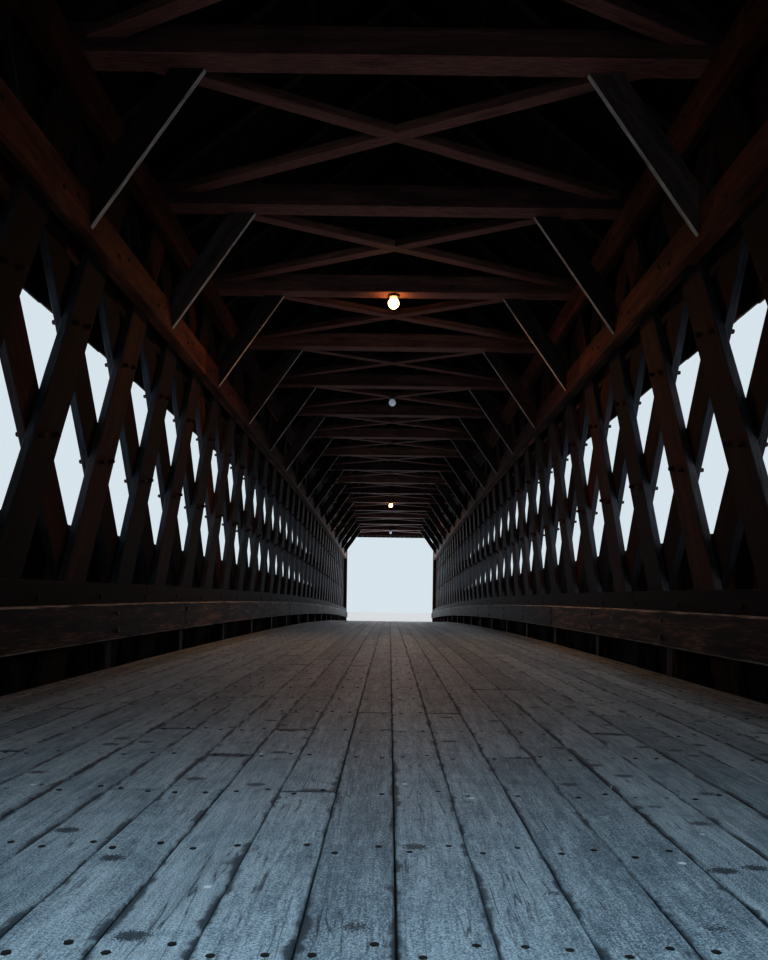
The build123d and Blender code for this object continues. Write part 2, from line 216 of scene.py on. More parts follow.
def ramp(add, factor, stops):
    """Colour ramp through (place, hex colour) stops."""
    made = add("ValToRGB", {"Fac": factor})
    elements = made.color_ramp.elements
    while len(elements) < len(stops):
        elements.new(0.5)
    for element, (place, code) in zip(elements, stops):
        element.position = place
        element.color = linear(code)
    return made


print("middle grey in linear light:", round(linear("#808080")[0], 3))

# %% [markdown]
# ## Wood
# Sawn timber shows long fibres, wider bands where early and late wood change, a few knots and
# drying checks that run with the grain. Each timber carries its own coordinates in an attribute
# named grain: x runs along the timber, y and z across it, in metres, shifted by a different
# amount for each piece of wood. A noise that is squeezed across the grain gives the fibres.
# The attribute named tone is one number for each timber, because no two boards age alike. The
# attribute named rim runs from -1 to 1 across a timber and the one named tip is 1 at its ends,
# so that dirt can gather along edges and joints.


# %% The wood recipe
def sawn_wood(
    name, stops, fibre=0.005, band=0.045, checks=0.6, knots=0.5, rough=0.8, relief=0.0012, stain="#0c0705",
    tone_share=0.42, worn_and_lit=None, worn_and_lit_axis=(0, 0, 1),
):
    """Aged sawn wood. Fibre and band are the widths of the streaks in metres.

    The colour is a ramp over fibre noise, band noise and the timber's tone; dark checks lie
    where a second stretched noise passes one half; knots are stretched Voronoi cells. With a
    colour for wear and painted light, faces that look along the given axis, either way, take it
    where a noise lets them. On most timbers it is a painted highlight, the light that falls on
    those faces; on the rail it is partly rubbed wear and partly a painted highlight.
    """
    material, add = new_material(name)
    grain = add("Attribute", attribute_name="grain").outputs["Vector"]
    tone = add("Attribute", attribute_name="tone").outputs["Fac"]
    fine = add("Mapping", {"Vector": grain, "Scale": (0.06 / fibre, 1 / fibre, 1 / fibre)})
    fibres = add("TexNoise", {"Vector": fine, "Scale": 1.0, "Detail": 4.0, "Roughness": 0.65})
    wide = add("Mapping", {"Vector": grain, "Scale": (0.09 / band, 1 / band, 1 / band)})
    bands = add("TexNoise", {"Vector": wide, "Scale": 1.0, "Detail": 3.0, "Distortion": 0.6})
    patches = add("TexNoise", {"Vector": grain, "Scale": 3.1, "Detail": 3.0})
    fibre_part = add("Math", {0: fibres, 1: 0.55}, operation="MULTIPLY")
    band_part = add("Math", {0: bands, 1: 0.6, 2: fibre_part}, operation="MULTIPLY_ADD")
    tone_part = add("Math", {0: tone, 1: tone_share, 2: band_part}, operation="MULTIPLY_ADD")
    mixed = add("Math", {0: tone_part, 1: 0.08 + tone_share / 2}, operation="SUBTRACT")
    colour = ramp(add, mixed, stops)

    long = add("Mapping", {"Vector": grain, "Scale": (0.9, 26.0, 26.0)})
    lines = add("TexNoise", {"Vector": long, "Scale": 1.0, "Detail": 2.0, "Roughness": 0.4})
    off = add("Math", {0: lines, 1: 0.5}, operation="SUBTRACT")
    near = add("Math", {0: off}, operation="ABSOLUTE")
    crack = add("MapRange", {"Value": near, "From Max": 0.012, "To Min": checks, "To Max": 0.0})
    broken = add("MapRange", {"Value": patches, "From Min": 0.42, "From Max": 0.58})
    check = add("Math", {0: crack, 1: broken}, operation="MULTIPLY")

    cells = add("Mapping", {"Vector": grain, "Scale": (1.9, 8.0, 8.0)})
    knot = add("TexVoronoi", {"Vector": cells, "Scale": 1.0})
    eye = add(
        "MapRange",
        {"Value": knot, "From Min": 0.1, "From Max": 0.22, "To Min": knots, "To Max": 0.0},
    )
    dark = add("Math", {0: check, 1: eye}, operation="MAXIMUM")
    blotch = add("MapRange", {"Value": patches, "From Min": 0.52, "From Max": 0.75, "To Max": 0.45})
    worst = add("Math", {0: dark, 1: blotch}, operation="MAXIMUM")
    # Faces that look along the axis, either way, take a pale colour: a painted highlight of the light
    # falling on them, and on the rail partly rubbed wear.
    if worn_and_lit:
        facing = add("NewGeometry").outputs["True Normal"]
        toward = add("VectorMath", {0: facing, 1: worn_and_lit_axis}, operation="DOT_PRODUCT")
        turned_to = add("Math", {0: toward}, operation="ABSOLUTE")
        worn_and_lit_facing = add("MapRange", {"Value": turned_to, "From Min": 0.4, "From Max": 0.55})
        breaks = add("MapRange", {"Value": fibres, "From Min": 0.3, "From Max": 0.6})
        worn_and_lit_share = add("Math", {0: worn_and_lit_facing, 1: breaks}, operation="MULTIPLY")
        colour = add("Mix", {"Factor": worn_and_lit_share, "A": colour, "B": linear(worn_and_lit)}, data_type="RGBA")
    stained = add("Mix", {"Factor": worst, "A": colour, "B": linear(stain)}, data_type="RGBA")

    sunk = add("Math", {0: crack, 1: -0.6, 2: fibres}, operation="MULTIPLY_ADD")
    bump = add("Bump", {"Height": sunk, "Strength": 0.6, "Distance": relief})
    looks = {"Base Color": stained, "Roughness": rough, "Specular IOR Level": 0.1, "Normal": bump}
    add("OutputMaterial", {"Surface": add("BsdfPrincipled", looks)})
    return material


# %% [markdown]
# ## Timbers as swept sections
# Every timber is a rectangle with eased edges, carried along a line. The eight points of the
# section times the stations along the line make a grid, and all timbers of a kind are one array.
# The section may lean against the line, which gives plumb, level and mitred cuts for nothing.
# The edges are eased by a few millimetres, because a sharp edge never catches the light.

# %% The eight points of an eased rectangle, counter-clockwise
CORNER_X = np.array([-1, -1, 1, 1, 1, 1, -1, -1])
CORNER_Z = np.array([-1, -1, -1, -1, 1, 1, 1, 1])
CUT_X = np.array([0, 1, 1, 0, 0, 1, 1, 0])
CUT_Z = 1 - CUT_X
SECTION = len(CORNER_X)
BOARD_EASE = 0.0015
TIMBER_EASE = 0.003
BEAM_EASE = 0.004
print("points in a section:", SECTION)


def unit(vectors):
    """Vectors divided by their lengths, along the last axis."""
    return vectors / np.linalg.norm(vectors, axis=-1, keepdims=True)


def tube_faces(count, stations, sides):
    """Quads between neighbouring sections and one cap at each end, for tubes of equal size."""
    first = np.arange(count)[:, None, None] * stations * sides
    ring = np.arange(stations - 1)[None, :, None] * sides
    k = np.arange(sides)[None, None, :]
    after = (k + 1) % sides
    low = first + ring
    quads = np.stack([low + k, low + after, low + sides + after, low + sides + k], -1).reshape(-1, 4)
    start = first[:, 0] + np.arange(sides)[::-1]
    end = first[:, 0] + (stations - 1) * sides + np.arange(sides)
    return [quads, np.vstack([start, end])]


def timbers(path, across, up, width, depth, ease=TIMBER_EASE, seed=0, bow=0.0):
    """Timbers as one bundle of points, faces, grain, tone, rim and tip.

    path has the shape (timbers, stations, 3). A section's point is
    path + X * across + Z * up, with X = +-(width / 2 - ease) or +-width / 2, and Z alike.
    The end sections are drawn in by the ease, and bow bends the line by half a sine.
    """
    chance = np.random.default_rng(seed)
    path = np.asarray(path, float)
    count = len(path)
    across = np.broadcast_to(np.asarray(across, float), path.shape)
    up = np.broadcast_to(np.asarray(up, float), path.shape)
    if bow:
        share = np.linspace(0, 1, path.shape[1])[None, :, None]
        sideways = chance.uniform(-bow, bow, (count, 1, 2))
        path = path + np.sin(math.pi * share) * (sideways[..., :1] * across + sideways[..., 1:] * up)
    ends_twice = np.pad(np.arange(path.shape[1]), 1, mode="edge")
    path, across, up = path[:, ends_twice], across[:, ends_twice], up[:, ends_twice]
    path[:, 1] += unit(path[:, 2] - path[:, 0]) * ease
    path[:, -2] += unit(path[:, -3] - path[:, -1]) * ease
    stations = path.shape[1]
    turn = np.sum(np.cross(across, up) * np.gradient(path, axis=1), -1, keepdims=True)
    across = across * np.where(turn < 0, -1.0, 1.0)

    eases = ease * chance.uniform(0.6, 1.5, (count, stations))
    inset = np.zeros((count, stations))
    inset[:, [0, -1]] = ease
    half_width = np.reshape(width, (-1, 1)) / 2 - inset
    half_depth = np.reshape(depth, (-1, 1)) / 2 - inset
    x = CORNER_X * (half_width[..., None] - eases[..., None] * CUT_X)
    z = CORNER_Z * (half_depth[..., None] - eases[..., None] * CUT_Z)
    points = path[:, :, None] + x[..., None] * across[:, :, None] + z[..., None] * up[:, :, None]

    steps = np.linalg.norm(np.diff(path, axis=1), axis=-1)
    along = np.concatenate([np.zeros((count, 1)), np.cumsum(steps, 1)], 1)
    shift = chance.uniform(0, 40, (count, 1, 1, 3))
    grain = np.stack([np.broadcast_to(along[..., None], x.shape), x, z], -1) + shift
    tone = np.repeat(chance.uniform(0, 1, count), stations * SECTION)
    rim = x / half_width.max(1)[:, None, None]
    tip = np.zeros(x.shape)
    tip[:, [0, 1, -2, -1]] = 1.0
    return {
        "points": points.reshape(-1, 3),
        "faces": tube_faces(count, stations, SECTION),
        "grain": grain.reshape(-1, 3),
        "tone": tone,
        "rim": rim.ravel(),
        "tip": tip.ravel(),
    }


# %% Joining bundles and making the mesh
def joined(bundles):
    """One bundle from several: faces move up by the number of points before them."""
    starts = np.cumsum([0] + [len(b["points"]) for b in bundles[:-1]])
    whole = {key: np.concatenate([b[key] for b in bundles]) for key in bundles[0] if key != "faces"}
    whole["faces"] = [group + start for b, start in zip(bundles, starts) for group in b["faces"]]
    return whole


def make_piece(name, shape, nodes, material, smooth=False):
    """A mesh object that rides on the bridge and stands for the nodes."""
    mesh = bpy.data.meshes.new(name)
    polygons = [polygon for group in shape["faces"] for polygon in group.tolist()]
    mesh.from_pydata(shape["points"].tolist(), [], polygons)
    mesh.attributes.new("grain", "FLOAT_VECTOR", "POINT").data.foreach_set("vector", shape["grain"].ravel())
    for key in shape:
        if key in ("tone", "rim", "tip"):
            mesh.attributes.new(key, "FLOAT", "POINT").data.foreach_set("value", shape[key])
    mesh.polygons.foreach_set("use_smooth", np.full(len(mesh.polygons), smooth))
    mesh.materials.append(material)
    piece = placed(name, mesh)
    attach(piece, "root")
    if nodes:
        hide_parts(*nodes)
    triangles = sum(len(group) * (group.shape[1] - 2) for group in shape["faces"])
    print(f"{name}: {triangles} triangles")


def lengthwise(x, low, high, y, thickness, **more):
    """Timbers that run along the bridge and follow its arch, with a row of y for each."""
    path = line(x, y, np.reshape(np.add(low, high) / 2, (-1, 1)))
    return timbers(path, (1, 0, 0), (0, 0, 1), thickness, np.subtract(high, low), **more)


SHORTEST_TIMBER = 0.2
BUTT_GAP = 0.002


def butted(length, first, stations=8, end=TRUSS_END, gap=BUTT_GAP):
    """Rows of y for timbers of one length, butted end to end, the first one cut to `first`."""
    joints = np.arange(-end + first, end - SHORTEST_TIMBER, length)
    starts = np.concatenate([[-end], joints + gap / 2])
    ends = np.concatenate([joints - gap / 2, [end]])
    return starts[:, None] + (ends - starts)[:, None] * np.linspace(0, 1, stations)


# %% [markdown]
# ## The lattice
# The walls are planks in two layers that lean opposite ways and lie face to face. They are cut
# level at foot and head and stop at the end posts. A plank's line is straight in the wall's own
# sheared grid: y moves by half a panel while the level moves by one row. Points past the end
# posts are brought back into them, which gives the plumb cut.

# %% Lattice planks
# Lattice spruce: nearly black where no light falls, red-brown near a lamp. The edge faces that
# look along the bridge carry a cool painted highlight, the sky light of the open strips, so that
# each hole has a cool rim.
lattice_wood = sawn_wood(
    "aged spruce, lattice planks",
    [(0.2, "#070302"), (0.45, "#0e0603"), (0.6, "#200d07"), (0.85, "#44200f")],
    knots=0.55, worn_and_lit="#2c3239", worn_and_lit_axis=(0, 1, 0),
)
PLANK_WIDTH = 0.19
LATTICE_EASE = 0.0035
LATTICE_BOW = 0.002
POST_OVERLAP = 0.02
PLANK_SET_BACK = 0.008
CROSSING_LIFT = 0.115
CROSSING_SHIFT = -0.165
PLANK_SLOPE = ROW_RISE / (PANEL / 2)
SIDE_PLANK_RECESS = 0.0006
POST_WIDTH = 0.09
plank_low = levels("bottom_chord_right")[0] + PLANK_SET_BACK
plank_high = TIE_LEVEL - PLANK_SET_BACK


def lattice_layer(x, thickness, lean, seed):
    """All planks of one layer: y = foot + lean * (level - crossing level) / slope.

    A plank that runs past an end post is cut short where its width has left the lattice.
    """
    feet = lean * (np.arange(-ROWS // 2, PANELS + 1) * PANEL - HALF_LENGTH) + CROSSING_SHIFT
    crossing = FIRST_ROW + CROSSING_LIFT
    cut = math.hypot(1, PLANK_SLOPE) / PLANK_SLOPE
    clear = TRUSS_END - POST_WIDTH
    reach = clear + PLANK_WIDTH * cut / 2
    ends = crossing + lean * PLANK_SLOPE * (np.array([[-reach], [reach]]) - feet)
    low = np.maximum(ends.min(0), plank_low)
    high = np.minimum(ends.max(0), plank_high)
    kept = high - low > SHORTEST_TIMBER
    level = low[kept, None] + (high - low)[kept, None] * np.linspace(0, 1, 12)
    y = feet[kept, None] + lean * (level - crossing) / PLANK_SLOPE
    shape = timbers(
        line(x, y, level), (0, cut, 0), (1, 0, 0), PLANK_WIDTH, thickness,
        ease=LATTICE_EASE, seed=seed, bow=LATTICE_BOW,
    )
    limit = clear + POST_OVERLAP
    shape["points"][:, 1] = shape["points"][:, 1].clip(-limit, limit)
    return shape


layer_thickness = LATTICE_MIDDLE - LATTICE_INSIDE - 2 * SIDE_PLANK_RECESS
for side_name, side in SIDES.items():
    for layer, lean in (("inner", 1), ("outer", -1)):
        node = f"lattice_{layer}_{side_name}"
        planks = lattice_layer(sum(span(node, 0)) / 2, layer_thickness, lean, seed=11 + side + lean)
        make_piece(f"lattice_planks_{layer}_{side_name}", planks, [node], lattice_wood)

# %% [markdown]
# ## Chords
# The chords clamp the lattice from inside and outside at four rows. Each is two leaves of thick
# plank, laid side by side and butted at different places, so that no joint meets another.

# %% Chords, in leaves with staggered joints
# Upper chords: the reddest wood, which catches the lamp light along its broad inner face.
chord_wood = sawn_wood(
    "aged spruce, chords",
    [(0.2, "#160805"), (0.45, "#32160c"), (0.62, "#532817"), (0.85, "#7b432c")],
    band=0.06,
)
# Lower chords: the same timber, darkened as painted shade, so the rail stands out before them.
shaded_lower_chord_wood = sawn_wood(
    "aged spruce, lower chords in painted shade",
    [(0.2, "#060302"), (0.45, "#0c0604"), (0.62, "#160b07"), (0.85, "#28160e")],
    band=0.06,
)
CHORD_LENGTH = 6 * PANEL
LEAF_GAP = 0.001
LEAF_BOW = 0.0012
leaf = (LATTICE_INSIDE - INNER_FACE) / 2
leaf_x = (INNER_FACE, INNER_FACE + leaf, LATTICE_OUTSIDE, LATTICE_OUTSIDE + leaf)
for row_number, row in enumerate(("bottom", "lower_middle", "upper_middle", "top")):
    for side_name, side in SIDES.items():
        node = f"{row}_chord_{side_name}"
        low, high = levels(node)
        leaves = []
        for number, x in enumerate(leaf_x):
            y = butted(CHORD_LENGTH, PANEL * (1.5 + (number * 3 + row_number * 2) % 6))
            seed = 100 + 10 * row_number + number + 5 * side
            middle, width = side * (x + leaf / 2), leaf - LEAF_GAP
            leaves.append(lengthwise(middle, low, high, y, width, seed=seed, bow=LEAF_BOW))
        wood = shaded_lower_chord_wood if row in ("bottom", "lower_middle") else chord_wood
        make_piece(f"{row}_chord_leaves_{side_name}", joined(leaves), [node], wood)

# %% End posts
post_x, post_y = np.meshgrid([-1, 1], [-1, 1])
post_x = post_x.reshape(-1, 1) * (LATTICE_INSIDE + LATTICE_OUTSIDE) / 2
post_y = post_y.reshape(-1, 1) * (TRUSS_END - POST_WIDTH / 2)
post_path = line(post_x, post_y, levels("end_posts"))
posts = timbers(post_path, (1, 0, 0), (0, 1, 0), LATTICE_OUTSIDE - LATTICE_INSIDE, POST_WIDTH, seed=140)
make_piece("end_post_timbers", posts, ["end_posts"], chord_wood)

# %% [markdown]
# ## The overhead frame
# Tie beams lie on the top chords. Knee braces stiffen them against the walls, and crossed braces
# in each bay keep the top from racking. The knees are cut plumb at the chord and level at the
# tie. One of each pair of crossed braces is in one piece; the other comes in two halves.

# %% Tie beams
# Overhead timbers: dark faces and a rosy painted highlight of lamp light on the undersides and
# tops, which draws the crossed braces as thin lines.
overhead_wood = sawn_wood(
    "aged spruce, overhead frame",
    [(0.2, "#261919"), (0.45, "#452e2e"), (0.62, "#61443f"), (0.85, "#82604f")],
    worn_and_lit="#7a4f47",
)
TIE_WIDTH = 0.115
tie_low, tie_high = levels("tie_beams")
tie_reach = span("tie_beams", 0)[1]
tie_path = line([-tie_reach, 0, tie_reach], tie_y[:, None], (tie_low + tie_high) / 2)
ties = timbers(tie_path, (0, 1, 0), (0, 0, 1), TIE_WIDTH, tie_high - tie_low, ease=BEAM_EASE, seed=150)
make_piece("tie_beam_timbers", ties, ["tie_beams"], overhead_wood)

# %% Knee braces
# Knee braces: cold dark faces, and a pale painted highlight on the faces that look up and down,
# the low light of the strip across the way, which gives each knee its bright line.
knee_wood = sawn_wood(
    "aged spruce, knee braces",
    [(0.2, "#0f0c0d"), (0.45, "#1f1a1b"), (0.62, "#312a29"), (0.85, "#4c423e")],
    worn_and_lit="#cdc6bd",
)
KNEE_DEPTH = 0.118
KNEE_THICKNESS = 0.03
KNEE_RUN = 0.39
KNEE_RISE = 0.555
KNEE_EASE = 0.002
knee_length = math.hypot(KNEE_RUN, KNEE_RISE)
knee_y = tie_y[1:-1] + (TIE_WIDTH - KNEE_THICKNESS) / 2
knee_share = np.linspace(0, 1, 4)
knee_level = TIE_LEVEL - KNEE_RISE * (1 - knee_share)
for side_name, side in SIDES.items():
    knee_path = line(side * (INNER_FACE - KNEE_RUN * knee_share), knee_y[:, None], knee_level)
    square = np.array([side * KNEE_RISE, 0, KNEE_RUN]) / knee_length
    plumb = np.array([0, 0, knee_length / KNEE_RUN])
    level_cut = np.array([side * knee_length / KNEE_RISE, 0, 0])
    knee_across = np.broadcast_to(np.stack([plumb, square, square, level_cut]), knee_path.shape)
    knees = timbers(
        knee_path, knee_across, (0, 1, 0), KNEE_DEPTH, KNEE_THICKNESS, ease=KNEE_EASE, seed=160 + side
    )
    make_piece(
        f"knee_timbers_{side_name}", knees, [f"knee_braces_{side_name}"], knee_wood
    )


# %% Crossed braces
HALVING_GAP = 0.0005


def crossed(start_x, y0, y1, middle, width, depth, end_cut, seed):
    """Crossed bars in plan between y0 and y1: the through ones, then the halves.

    A through bar runs from (start_x, y0) to (-start_x, y1). A cut along a direction e is made by
    the section vector e / (e . p), where p is the bar's own cross direction in plan.
    """
    def bars(a, b, cut_a, cut_b, seed):
        direction = unit(b - a)
        cross = np.stack([-direction[:, 1], direction[:, 0]], -1)
        vectors = [cut / np.sum(cut * cross, -1, keepdims=True) for cut in (cut_a, cut_b)]
        points = np.stack([a, b], 1)
        path = line(points[..., 0], points[..., 1], middle)
        section = np.stack(vectors, 1)
        section = np.concatenate([section, np.zeros((*section.shape[:2], 1))], -1)
        return timbers(path, section, (0, 0, 1), width, depth, seed=seed)

    start = np.stack([start_x, y0], -1)
    finish = np.stack([-start_x, y1], -1)
    other_start = np.stack([-start_x, y0], -1)
    other_finish = np.stack([start_x, y1], -1)
    ends = np.broadcast_to(np.asarray(end_cut, float), start.shape)
    along = unit(finish - start)
    other = unit(other_finish - other_start)
    sine = np.abs(along[:, 0] * other[:, 1] - along[:, 1] * other[:, 0])[:, None]
    centre = (start + finish) / 2
    stop = other * (width / 2 + HALVING_GAP) / sine
    through = bars(start, finish, ends, ends, seed)
    first_halves = bars(other_start, centre - stop, ends, along, seed + 1)
    second_halves = bars(centre + stop, other_finish, along, ends, seed + 2)
    return through, joined([first_halves, second_halves])


BRACE_WIDTH = 0.07
brace_low, brace_high = levels("overhead_braces_through")
brace_reach = span("overhead_braces_through", 0)[1]
bay_gap = BAY_PANELS * PANEL - TIE_WIDTH
brace_cut = BRACE_WIDTH * math.hypot(2 * brace_reach, bay_gap) / bay_gap
brace_lean = np.where(np.arange(len(tie_y) - 1) % 2 == 0, 1.0, -1.0)
brace_through, brace_halves = crossed(
    brace_lean * (brace_reach - brace_cut / 2), tie_y[:-1] + TIE_WIDTH / 2, tie_y[1:] - TIE_WIDTH / 2,
    (brace_low + brace_high) / 2, BRACE_WIDTH, brace_high - brace_low, end_cut=(1, 0), seed=170,
)
for kind, shape in (("through", brace_through), ("halved", brace_halves)):
    nodes = [f"overhead_braces_{kind}"]
    make_piece(f"brace_timbers_{kind}", shape, nodes, overhead_wood)

# %% [markdown]
# ## The roof
# Rafters stand at every panel point and are cut plumb at the ridge. Spaced boards run along the
# bridge over them, and wood shingles are nailed to the boards. From the roadway only the boards
# and the backs of the shingles show; from outside, only the courses.

# %% Rafters and eave plates
# Rafters: the darkest timber, darkened as painted shade of the roof hollow, with a faint painted
# highlight on the underside.
rafter_wood = sawn_wood(
    "aged spruce, rafters",
    [(0.2, "#060302"), (0.45, "#0d0605"), (0.62, "#180c08"), (0.85, "#2b1911")],
    worn_and_lit="#2a2320",
)
PITCH = 0.79
FIRST_PLATE = 2.2
slope_length = math.hypot(1, PITCH)


def slope_axes(side):
    """Unit vectors down one slope of the roof and square to it."""
    down = (side / slope_length, 0, -PITCH / slope_length)
    square = (side * PITCH / slope_length, 0, 1 / slope_length)
    return down, square


RAFTER_THICKNESS = 0.05
roof_half = span("rafters_right", 0)[1]
rafter_top = levels("rafters_right")[1]
RAFTER_BOW = 0.0015
RAFTER_PLUMB_DEPTH = 0.096
RIDGE_START = 0.0004
rafter_y = np.clip(panel_y, -(TRUSS_END - RAFTER_THICKNESS / 2), TRUSS_END - RAFTER_THICKNESS / 2)
rafter_x = roof_half * np.linspace(RIDGE_START, 1, 5)
rafter_level = rafter_top - RAFTER_PLUMB_DEPTH / 2 - PITCH * rafter_x
for side_name, side in SIDES.items():
    rafters = timbers(
        line(side * rafter_x, rafter_y[:, None], rafter_level), (0, 0, 1), (0, 1, 0),
        RAFTER_PLUMB_DEPTH, RAFTER_THICKNESS, seed=180 + side, bow=RAFTER_BOW,
    )
    make_piece(
        f"rafter_timbers_{side_name}", rafters, [f"rafters_{side_name}"], rafter_wood
    )
    low, high = levels(f"eave_plate_{side_name}")
    plate_x = side * (LATTICE_OUTSIDE + CHORD_OUTSIDE) / 2
    y = butted(CHORD_LENGTH, FIRST_PLATE)
    plate = lengthwise(plate_x, low, high, y, CHORD_OUTSIDE - LATTICE_OUTSIDE, seed=190 + side)
    make_piece(
        f"eave_plate_timbers_{side_name}", plate, [f"eave_plate_{side_name}"], rafter_wood
    )

# %% Spaced roof boards
# Roof boards: near black, as painted shade, so the roof reads as a black hollow.
roof_shade_wood = sawn_wood(
    "aged spruce, roof boards in painted shade",
    [(0.2, "#040202"), (0.45, "#080403"), (0.62, "#100805"), (0.85, "#22130c")],
)
ROOF_BOARD_PITCH = 0.0677
ROOF_BOARD_WIDTH = 0.052
ROOF_BOARD_LENGTH = 3.05
ROOF_BOARD_INSET = 0.001
ROOF_BOARD_SCATTER = 0.003
board_rows = int(roof_half / ROOF_BOARD_PITCH)
sheathing_top = levels("roof_sheathing_right")[1]
board_plumb = sheathing_top - rafter_top
roof_end = span("roof_sheathing_right", 1)[1]
for side_name, side in SIDES.items():
    chance = np.random.default_rng(200 + side)
    rows = []
    first_x = roof_half - ROOF_BOARD_WIDTH / slope_length / 2 - ROOF_BOARD_INSET
    for row in range(board_rows):
        x = first_x - row * ROOF_BOARD_PITCH
        y = butted(ROOF_BOARD_LENGTH, PANEL * (1 + (row * 3) % 5), 5, roof_end)
        middle = rafter_top + board_plumb / 2 - PITCH * x
        scatter = chance.uniform(-ROOF_BOARD_SCATTER, ROOF_BOARD_SCATTER, (len(y), 1))
        path = line(side * x + scatter, y, middle)
        thickness = board_plumb / slope_length - ROOF_BOARD_INSET
        section = (*slope_axes(side), ROOF_BOARD_WIDTH, thickness)
        rows.append(timbers(path, *section, ease=BOARD_EASE, seed=210 + row))
    nodes = [f"roof_sheathing_{side_name}"]
    make_piece(f"roof_boards_{side_name}", joined(rows), nodes, roof_shade_wood)

# %% [markdown]
# Shingles are split wedges, thick at the butt and thin at the head. Course by course they are
# laid up the slope, each covering the joints below. A shingle here is a closed wedge with eight
# corners: u runs along the roof and s up the slope, and height above the boards falls with s.

# %% Shingles
# Cedar shingles: silver grey, each of its own tone, which gives the roof its mottled courses.
shingle_wood = sawn_wood(
    "weathered cedar shingles",
    [(0.2, "#4b4641"), (0.45, "#6c655d"), (0.62, "#857d73"), (0.85, "#a29a8f")],
    fibre=0.004, knots=0.1, checks=0.4, stain="#39342f",
)
SHINGLE_EXPOSURE = 0.075
SHINGLE_WIDTH = 0.075
SHINGLE_BUTT = 0.0045
SHINGLE_GAP = 0.003
SHINGLE_BACK = 0.003
SHINGLE_COVER = 1.25
SHINGLE_SCATTER = 0.004
BACK_SHORT = 0.002
BACK_EASE = 0.001
WIDTH_SPREAD = 0.4
BUTT_RISE = 0.3
HEAD_UNDERSIDE = -0.0005
HEAD_TOP = 0.0003
cover_half = span("roof_covering_right", 0)[1]
cover_low = sheathing_top
slope_total = cover_half * slope_length
courses = int(slope_total / SHINGLE_EXPOSURE)
SQUARE = [[0, 0], [1, 0], [1, 1], [0, 1]]
CUBE_CORNERS = np.array([[*corner, top] for top in (0, 1) for corner in SQUARE])
CUBE_FACES = np.array([[0, 3, 2, 1], [4, 5, 6, 7], [0, 1, 5, 4], [1, 2, 6, 5], [2, 3, 7, 6], [3, 0, 4, 7]])


def on_slope(side, u, s, height):
    """Point of the roof: u along the bridge, s up from the eave, height square to the slope."""
    x = cover_half - s / slope_length + height * PITCH / slope_length
    level = cover_low - PITCH * (cover_half - s / slope_length) + height / slope_length
    return line(side * x, u, level)


for side_name, side in SIDES.items():
    chance = np.random.default_rng(300 + side)
    columns = int(2 * roof_end / SHINGLE_WIDTH)
    edges = np.cumsum(chance.uniform(1 - WIDTH_SPREAD, 1 + WIDTH_SPREAD, (courses, columns)), 1)
    edges = np.concatenate([np.zeros((courses, 1)), edges], 1)
    edges = edges / edges[:, -1:] * 2 * roof_end - roof_end
    left = edges[:, :-1] + SHINGLE_GAP / 2
    right = edges[:, 1:] - SHINGLE_GAP / 2
    course = np.arange(courses)[:, None] * SHINGLE_EXPOSURE
    butt = course + chance.uniform(0, SHINGLE_SCATTER, left.shape)
    head = np.minimum(butt + SHINGLE_COVER * SHINGLE_EXPOSURE, slope_total - SHINGLE_SCATTER)
    corner = CUBE_CORNERS[None, None]
    u = np.where(corner[..., 0] == 0, left[..., None], right[..., None])
    s = np.where(corner[..., 1] == 0, butt[..., None], head[..., None])
    lift = chance.uniform(0.8, 1.15, left.shape)[..., None] * SHINGLE_BUTT
    butt_low = BUTT_RISE * SHINGLE_BUTT
    low_edge = np.where(corner[..., 1] == 0, butt_low, HEAD_UNDERSIDE)
    high_edge = np.where(corner[..., 1] == 0, butt_low + lift, HEAD_TOP)
    height = SHINGLE_BACK + np.where(corner[..., 2] == 0, low_edge, high_edge)
    points = on_slope(side, u, s, height).reshape(-1, 3)
    count = left.size
    faces = (np.arange(count)[:, None, None] * 8 + CUBE_FACES[None]).reshape(-1, 4)
    shift = chance.uniform(0, 40, (count, 1, 3))
    grain = np.stack([s, u, height], -1).reshape(count, 8, 3) + shift
    tone = np.repeat(chance.uniform(0, 1, count), 8)
    if side > 0:
        faces = faces[:, ::-1]
    shape = {"points": points, "faces": [faces], "grain": grain.reshape(-1, 3), "tone": tone}
    make_piece(f"shingles_{side_name}", shape, [f"roof_covering_{side_name}"], shingle_wood)

# %% Backs of the shingles, seen between the boards from below
backs = []
for side in SIDES.values():
    middle_x = cover_half / 2
    level = cover_low - PITCH * middle_x + SHINGLE_BACK / 2 * slope_length
    path = line(side * middle_x, np.linspace(-roof_end, roof_end, 42)[None], level)
    width = slope_total - BACK_SHORT
    backs.append(timbers(path, *slope_axes(side), width, SHINGLE_BACK, ease=BACK_EASE, seed=320 + side))
# The backs take the near-black roof board colour, painted shade; outside, the same shingles are silver
# grey.
make_piece("shingle_backs", joined(backs), [], roof_shade_wood)

# %% Ridge boards
FIRST_RIDGE_BOARD = 1.3
RIDGE_STAGGER = 0.4
cap_low = levels("roof_covering_right")[1]
cap_half = span("ridge_cap", 0)[1]
cap_plumb = levels("ridge_cap")[1] - cap_low
caps = []
for side in SIDES.values():
    y = butted(ROOF_BOARD_LENGTH, FIRST_RIDGE_BOARD + side * RIDGE_STAGGER, 6, roof_end)
    path = line(side * cap_half / 2, y, cap_low + cap_plumb / 2 - PITCH * cap_half / 2)
    width, thickness = cap_half * slope_length, cap_plumb / slope_length
    caps.append(timbers(path, *slope_axes(side), width, thickness, ease=BOARD_EASE, seed=330 + side))
make_piece("ridge_boards", joined(caps), ["ridge_cap"], shingle_wood)

# %% [markdown]
# ## The deck
# Thick planks run along the bridge, a few millimetres apart, nailed twice at every bearer. Tyres
# have polished them and weather has greyed them. Each plank is its own timber, eight bearers
# long, and is butted to the next over a bearer. Chance says at which bearer each row begins.

